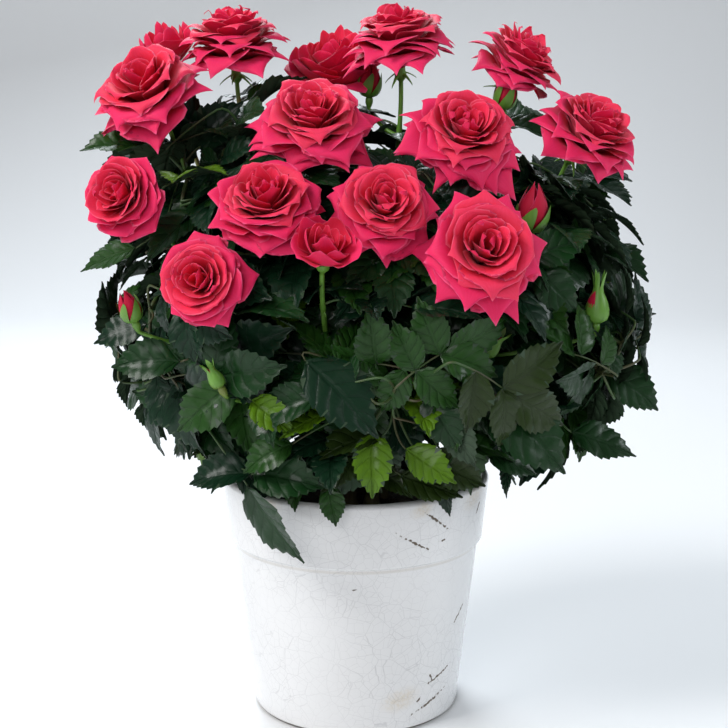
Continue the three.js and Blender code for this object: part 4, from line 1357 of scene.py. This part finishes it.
room = np.array(cad_box) / mm + box_slack
bloom_middles = np.array([flower["middle"] for flower in flowers]
                         + [bud["middle"] for bud in buds])
bloom_axes = np.array([flower["axis"] for flower in flowers] + [bud["axis"] for bud in buds])
bloom_halves = np.array([flower["height"] / 2 for flower in flowers]
                        + [bud["half"] for bud in buds]) + 2
bloom_radii = np.array([flower["width"] / 2 for flower in flowers]
                       + [bud["girth"] for bud in buds]) + 1


def clear(points, spare):
    """Whether points stay in the plant's box and miss the pot, the wood and the blooms."""
    if (points < room[0]).any() or (points > room[1]).any():
        return False
    level = np.hypot(points[:, 0], points[:, 1])
    if ((level < pot_rim_radius + pot_clearance)
            & (points[:, 2] < pot_height + pot_clearance)).any():
        return False
    away = np.linalg.norm(points[:, None] - wood_points, axis=2) - wood_radii
    if away.min() < spare:
        return False
    offset = points[:, None] - bloom_middles
    height = (offset * bloom_axes).sum(axis=2)
    wide = np.sqrt(np.maximum((offset ** 2).sum(axis=2) - height ** 2, 0))
    return ((height / bloom_halves) ** 2 + (wide / bloom_radii) ** 2 > 1).all()


def leaf_lie(tip, mass, draw, attempt, overhang):
    """How a leaf lies: like a shingle on the crown, its tip near a place."""
    level = unit((tip - crown_centre) * np.array([1, 1, 0]))
    face = unit(crown_facing(tip) + up * draw(*leaf_face_up) + level * draw(*leaf_face_out))
    along = square_to(face, tip - mass["hub"])
    turn = min(leaf_turn_least + attempt * leaf_turn_step, leaf_turn_most)
    along = swung(along, face, math.radians(draw(-turn, turn)))
    along = unit(along + face * draw(*leaf_rise))
    face = swung(square_to(along, face), along, draw(-leaf_roll, leaf_roll))
    scale = draw(*leaf_scale)
    length = (leaf_reach + leaf_end_stalk + leaflet_length * overhang) * scale
    base = tip - face * draw() * min(attempt, leaf_depth) - along * length + up * leaf_lift
    return base, along, face, scale


def leaflet_places(base, along, face, scale, draw):
    """The root, the direction, the face and the length of each leaflet of a leaf."""
    side = np.cross(face, along)

    def on_stalk(out):
        return base + along * out - up * leaf_droop * out * out / (2 * leaf_reach)
    places = []
    for share, size, spread in leaflet_pairs:
        for hand in (1, -1):
            angle = math.radians(spread + draw(-9, 9))
            way = unit(along * math.cos(angle) - side * hand * math.sin(angle)
                       - up * leaf_droop * draw(0.2, 0.9))
            places.append((on_stalk(share * leaf_reach * scale), way,
                           leaflet_length * scale * size * draw(0.9, 1.08)))
    way = unit(along - up * leaf_droop * draw(0.3, 0.9))
    places.append((on_stalk((leaf_reach + leaf_end_stalk) * scale), way, leaflet_length * scale))
    stalk = [on_stalk(share * (leaf_reach + leaf_end_stalk) * scale)
             for share in np.linspace(0, 1, 7)]
    found = []
    for root, way, length in places:
        lean = np.cross(way, face) * draw(-leaflet_roll, leaflet_roll)
        found.append((root, way, unit(face - way * face.dot(way) + lean), length))
    return found, stalk


def leaflet_samples(root, way, lift, length):
    """A few points on a leaflet that stand for it when it looks for room."""
    side = np.cross(way, lift)
    half = length * leaflet_width / 2
    return np.array([root + way * length * out + side * half * across for out, across in (
        (0.25, 0), (0.45, 0.9), (0.45, -0.9), (0.5, 0), (0.75, 0.5), (0.75, -0.5), (1, 0))])


leaflet_shares = np.linspace(0, 1, leaflet_rows)
leaflet_columns = np.array([-1, -0.5, 0, 0.5, 1])


def leaflet(root, way, lift, length, draw, finishes):
    """A toothed leaflet, folded along its sunken midrib and arched to its tip."""
    side = np.cross(way, lift)
    share = leaflet_shares[:, None]
    across = leaflet_columns[None, :]
    aside = np.abs(across)
    outline = np.sin(np.pi * share ** 0.76) ** (0.65 + 0.75 * share)
    half = length * leaflet_width / 2 * outline + 0.06
    tooth = np.where(np.arange(leaflet_rows)[:, None] % 2 == 1, leaflet_teeth[1],
                     leaflet_teeth[0])
    half = half * np.where(aside > 0.9, tooth, 1)
    fold = draw(*leaflet_fold)
    arch = draw(*leaflet_arch)
    wave = draw(*leaflet_wave)
    phase = draw(*whole_turn)
    twist = draw(*leaflet_twist)
    rise = (fold * aside - 0.2 * across ** 2) * half
    rise = rise + wave * half * aside * np.sin(share * 13 + phase)
    veins = np.abs(np.sin(np.pi * leaflet_veins * (share - vein_slant * aside))) ** 0.7
    quilted = leaflet_relief * length / leaflet_length * np.sin(np.pi * aside ** 0.8) ** 0.6
    rise = rise + quilted * veins
    bend = arch * (share - 0.5)
    out = length * (np.sin(bend) + math.sin(arch / 2)) / arch
    sink = length * (math.cos(arch / 2) - np.cos(bend)) / arch
    out = out + length / leaflet_rows * 0.8 * (aside > 0.9) * (tooth > 1)
    roll = twist * share
    wide = across * half
    points = (root + (out + rise * np.sin(bend))[..., None] * way
              + (wide * np.cos(roll) - rise * np.sin(roll))[..., None] * side
              + (rise * np.cos(bend) * np.cos(roll) + wide * np.sin(roll) - sink)[..., None] * lift)
    return closed_blade(points, length * leaflet_thickness, finishes)


def leaf_skin():
    """Relief and polish of a leaf: sunken veins that slant out from its midrib."""
    tree, given, ends = node_group("leaf_skin", {"Gloss": "Float"},
                                   {"Roughness": "Float", "Normal": "Vector"})
    place, across, along = blade_place(tree)
    slant = calc(tree, "SUBTRACT", along, calc(tree, "MULTIPLY", across, vein_slant))
    turns = calc(tree, "MULTIPLY", slant, leaflet_veins * math.pi)
    swell = calc(tree, "POWER", calc(tree, "ABSOLUTE", calc(tree, "SINE", turns)), 0.5)
    level = calc(tree, "MULTIPLY", swell, smooth_step(tree, across, 0.02, 0.14))
    fine = node(tree, "ShaderNodeTexVoronoi", {"Vector": place, "Scale": 26})
    level = calc(tree, "ADD", level, calc(tree, "MULTIPLY", fine.outputs["Distance"], 0.12))
    relief(tree, level, 0.8, 0.9, ends)
    uneven = smooth_step(tree, fine.outputs["Distance"], 0.1, 0.7, -0.06, 0.1)
    tree.links.new(calc(tree, "ADD", given.outputs["Gloss"], uneven), ends.inputs["Roughness"])
    return tree


leaf_skin_group = leaf_skin()


def leaf_material(name, colour, gloss):
    """Leaf of one plain colour under a clear wax."""
    made, tree, shader = material(name, Base_Color=colour, Coat_Weight=0.28,
                                  Coat_Roughness=0.22, Specular_IOR_Level=0.12)
    skin = node(tree, "ShaderNodeGroup", {"Gloss": gloss}, node_tree=leaf_skin_group)
    tree.links.new(skin.outputs["Roughness"], shader.inputs["Roughness"])
    tree.links.new(skin.outputs["Normal"], shader.inputs["Normal"])
    return made


leaf_finishes = [
    leaf_material("leaf_dark", (0.0038, 0.022, 0.009, 1), 0.36),
    leaf_material("leaf_deep", (0.007, 0.034, 0.008, 1), 0.38),
    leaf_material("leaf_mid", (0.014, 0.055, 0.007, 1), 0.4),
    leaf_material("leaf_young", (0.08, 0.175, 0.006, 1), 0.38),
    leaf_material("leaf_bronze", (0.017, 0.034, 0.005, 1), 0.4),
    leaf_material("leaf_underside", (0.035, 0.062, 0.034, 1), 0.6),
]
# Share of the leaves up to each tint, high in the crown and low at the rim
leaf_tints = ((0.45, 0), (0.8, 1), (0.975, 2), (0.99, 3), (1.0, 4))
rim_tints = ((0.3, 0), (0.6, 1), (0.86, 2), (0.92, 3), (1.0, 4))
rim_level = 192
underside = 5
twig_green = (0.035, 0.085, 0.018, 1)
twig_brown = (0.06, 0.05, 0.02, 1)


def twig_bark():
    """Skin of the thin twigs and stalks, darker than the flower shoots."""
    made, tree, shader = material("twig_green", Roughness=0.5)
    position = object_place(tree)
    mottle = clouds(tree, position, 60, 3)
    colour = blend_colour(tree, smooth_step(tree, mottle, 0.4, 0.68), twig_green, twig_brown)
    tree.links.new(colour, shader.inputs["Base Color"])
    relief(tree, mottle, 0.3, 0.3, shader)
    return made


def join_wood(base, along, mass, draw):
    """The wood near and behind a leaf's base, with a twig toward it where it is far."""
    apart = base - np.array(mass["wood"])
    reaches = np.linalg.norm(apart, axis=1)
    nearest = int(np.argmin(reaches - wood_behind * (apart @ along)))
    foot, reach = mass["wood"][nearest], reaches[nearest]
    if reach < stalk_longest:
        return foot, None, []
    end = foot + (base - foot) * (1 - twig_setback / reach)
    bow = (foot + end) / 2 + np.array([draw(-twig_bow, twig_bow), draw(-twig_bow, twig_bow),
                                       draw(-2, 6)])
    nodes = [bow + (end - bow) * share for share in twig_nodes]
    return nodes[-1], np.array(curve([foot, bow, end], 9)), nodes


def grow_stem(mass, draw):
    """The stem of a mass, from its cane to its heart, past the flower shoots."""
    for attempt in range(stem_tries):
        sway = stem_sway + attempt * stem_sway_step
        heart = mass["heart"] + np.array([draw(-sway, sway) for _ in range(3)])
        belly = (mass["start"] + heart) / 2
        belly[2] -= draw(*stem_belly)
        row = np.array(curve([mass["start"], belly, heart], stem_steps))
        if (inside_own_space(row[stem_bare:], mass)
                and clear(row[stem_heel:], stem_radii[0] + stem_clearance)):
            return row
    return row


golden_places = []
draw = seeded(crown_seed)
for count, size in crown_layers:
    for place in range(count):
        height = crown_top - crown_span * (place + 0.5) / count
        ring = math.sqrt(1 - height * height)
        point = np.array([ring * math.cos(place * golden_turn),
                          ring * math.sin(place * golden_turn), height])
        golden_places.append(crown_centre + point * crown_reach(point + crown_centre)
                             * size * draw(*crown_swell))


def fitting(found, middles, inside):
    """The leaflets of a leaf that find room, or none where its end one finds none."""
    kept = []
    for entry in reversed(found):
        samples = leaflet_samples(*entry)
        near = np.linalg.norm(middles - samples[3], axis=1).min()
        if near > leaflet_spacing and inside(samples) and clear(samples, leaflet_clearance):
            kept.append((entry, samples[3]))
        elif not kept:
            return []
    return kept


def leaf_tint(level, draw):
    """The tint of a whole leaf, by chance and by how high it hangs."""
    chance = draw()
    table = rim_tints if level < rim_level else leaf_tints
    return next(number for share, number in table if chance < share)


def try_leaf(tip, mass, draw, attempt, overhang, slack, middles):
    """One way for a leaf to lie: its leaflets that find room, its stalk, and its twig with
    the twig's nodes. There are no leaflets where the twig or the stalk has no room."""
    base, along, face, scale = leaf_lie(tip, mass, draw, attempt, overhang)
    foot, twig, nodes = join_wood(base, along, mass, draw)
    no_room = [], None, twig, nodes
    if twig is not None and not (inside_own_space(twig, mass)
                                 and clear(twig[twig_heel:], twig_clearance)):
        return no_room
    reach = np.linalg.norm(base - foot)
    if (base - foot) @ along < stalk_bend_least * reach:
        return no_room
    found, stalk = leaflet_places(base, along, face, scale, draw)
    bow = base - along * reach * stalk_lead
    petiole = np.array(curve([foot, bow, base], stalk_steps) + stalk[1:])
    if not inside_own_space(petiole, mass) or crown_share(petiole[5:]).max() > slack:
        return no_room
    if not clear(petiole[stalk_heel:], stalk_clearance):
        return no_room

    def inside(samples):
        return inside_own_space(samples, mass) and crown_share(samples).max() < slack
    return fitting(found, middles, inside), petiole, twig, nodes


def hang_leaf(kept, level, draw, blades, middles):
    """Adds a leaf's blades in one tint, and gives the middles of all blades so far."""
    tint = leaf_tint(level, draw)
    for entry, _ in kept:
        blades.append(leaflet(*entry, draw, (tint, underside)))
    return np.concatenate([middles, [middle for _, middle in kept]])


# Each mass grows from its stem: first the leaflets that have a set place, then
# leaves whose tips are on the outline, then leaves that fill the crown. A leaf
# takes the first way of lying that has room for it and for its stalk
twig_finish = twig_bark()
far_away = np.full((1, 3), 1e6)
for mass in masses:
    draw = seeded(mass["seed"])
    stem = grow_stem(mass, draw)
    mass["wood"] = list(stem[stem_bare:])
    mass["hub"] = stem[-1] + crown_facing(stem[-1]) * mass["lift"]
    middles = far_away
    twigs = [tapered(stem, stem_radii, stem_sides)]
    blades, hung = [], []
    for root, tip, tint, turn in rim_leaflets:
        root, tip = np.array(root, float), np.array(tip, float)
        if nearest_mass(root) is not mass:
            continue
        way = unit(tip - root)
        face = swung(square_to(way, rim_leaflet_face), way, math.radians(turn))
        blades.append(leaflet(root, way, face, np.linalg.norm(tip - root), draw,
                              (tint, underside)))
        middles = np.concatenate([middles, [(root + tip) / 2]])
        hung.append((root, way))
    tips = [(np.array(tip, float), 1, None, 1.0) for tip in outline_tips]
    tips += [(place, 3, crown_slack, leaf_overhang) for place in golden_places]
    for tip, fewest, slack, overhang in tips:
        if nearest_mass(tip) is not mass:
            continue
        slack = slack or crown_share(tip) + outline_slack
        for attempt in range(leaf_tries):
            kept, petiole, twig, nodes = try_leaf(tip, mass, draw, attempt, overhang, slack,
                                                  middles)
            if len(kept) < fewest:
                continue
            middles = hang_leaf(kept, tip[2], draw, blades, middles)
            if twig is not None:
                twigs.append(tapered(twig, twig_radii, twig_sides))
                mass["wood"] += nodes
            twigs.append(tapered(petiole, stalk_radii, stalk_sides))
            break
    # The leaflets with a set place get stalks once the wood stands
    for root, way in hung:
        apart = root - np.array(mass["wood"])
        reaches = np.linalg.norm(apart, axis=1) - wood_behind * (apart @ way)
        foot = mass["wood"][int(np.argmin(reaches))]
        bow = root - way * np.linalg.norm(root - foot) * stalk_lead + up * 2
        twigs.append(tapered(curve([foot, bow, root], 9), stalk_radii, stalk_sides))
    leaves = joined(mass["name"].replace("leaves", "foliage"), give_islands(blades), leaf_finishes)
    growth = joined(mass["name"].replace("leaves", "twigs"), twigs, [twig_finish])
    for piece, slot in ((leaves, "leaf_green"), (growth, "shoot_green")):
        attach(piece, "root")
        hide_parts(mass["name"])

# Leaves on the flower shoots: smaller ones that stand up between the blooms, on
# short stalks round each shoot, of the same leaflets.
shoot_leaf_shares = (0.12, 0.22, 0.32, 0.42, 0.52, 0.62, 0.72, 0.82)
shoot_leaf_scale = (0.6, 0.92)
shoot_leaf_tries = 14
shoot_leaf_out = 12
shoot_leaf_rise = (0.0, 0.45)
shoot_leaf_top = 385
shoot_leaf_widest = 1.08
shoot_leaf_least = 2
shoot_stalk_clearance = 1.0
shoot_leaf_seed = 3307


def beside_shoots(samples):
    """Whether a leaflet stays among the shoots, seen from above and from the side."""
    level = (samples[:, :2] - crown_centre[:2]) / crown_radii[:2]
    return samples[:, 2].max() < shoot_leaf_top and np.hypot(*level.T).max() < shoot_leaf_widest


draw = seeded(shoot_leaf_seed)
middles = far_away
shoot_growth = {}
for order, flower in enumerate(flowers):
    blades, stalks = shoot_growth.setdefault(flower["cane"], ([], []))
    for place, share in enumerate(shoot_leaf_shares):
        foot = curve_point(flower["path"], share)
        way = unit(curve_point(flower["path"], share + 0.02) - foot)
        for attempt in range(shoot_leaf_tries):
            turn = (order * 8 + place + attempt * 0.37) * golden_turn
            out = frame_about(way, turn)[0]
            along = unit(out * 0.9 + up * draw(*shoot_leaf_rise))
            face = square_to(along, unit(way * 0.6 + up * 0.8 - out * 0.2))
            scale = draw(*shoot_leaf_scale)
            base = foot + along * shoot_leaf_out + up * 2
            found, stalk = leaflet_places(base, along, face, scale, draw)
            petiole = np.array(curve([foot, (foot + base) / 2 + up * 2, base], 5) + stalk[1:])
            if not clear(petiole[3:], shoot_stalk_clearance):
                continue
            kept = fitting(found, middles, beside_shoots)
            if len(kept) < shoot_leaf_least:
                continue
            middles = hang_leaf(kept, foot[2], draw, blades, middles)
            stalks.append(tapered(petiole, stalk_radii, stalk_sides))
            break
for cane, (blades, stalks) in sorted(shoot_growth.items()):
    leaves = joined(f"shoot_foliage_{cane + 1}", give_islands(blades), leaf_finishes)
    growth = joined(f"shoot_stalks_{cane + 1}", stalks, [twig_finish])
    for piece, slot in ((leaves, "leaf_green"), (growth, "shoot_green")):
        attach(piece, "root")
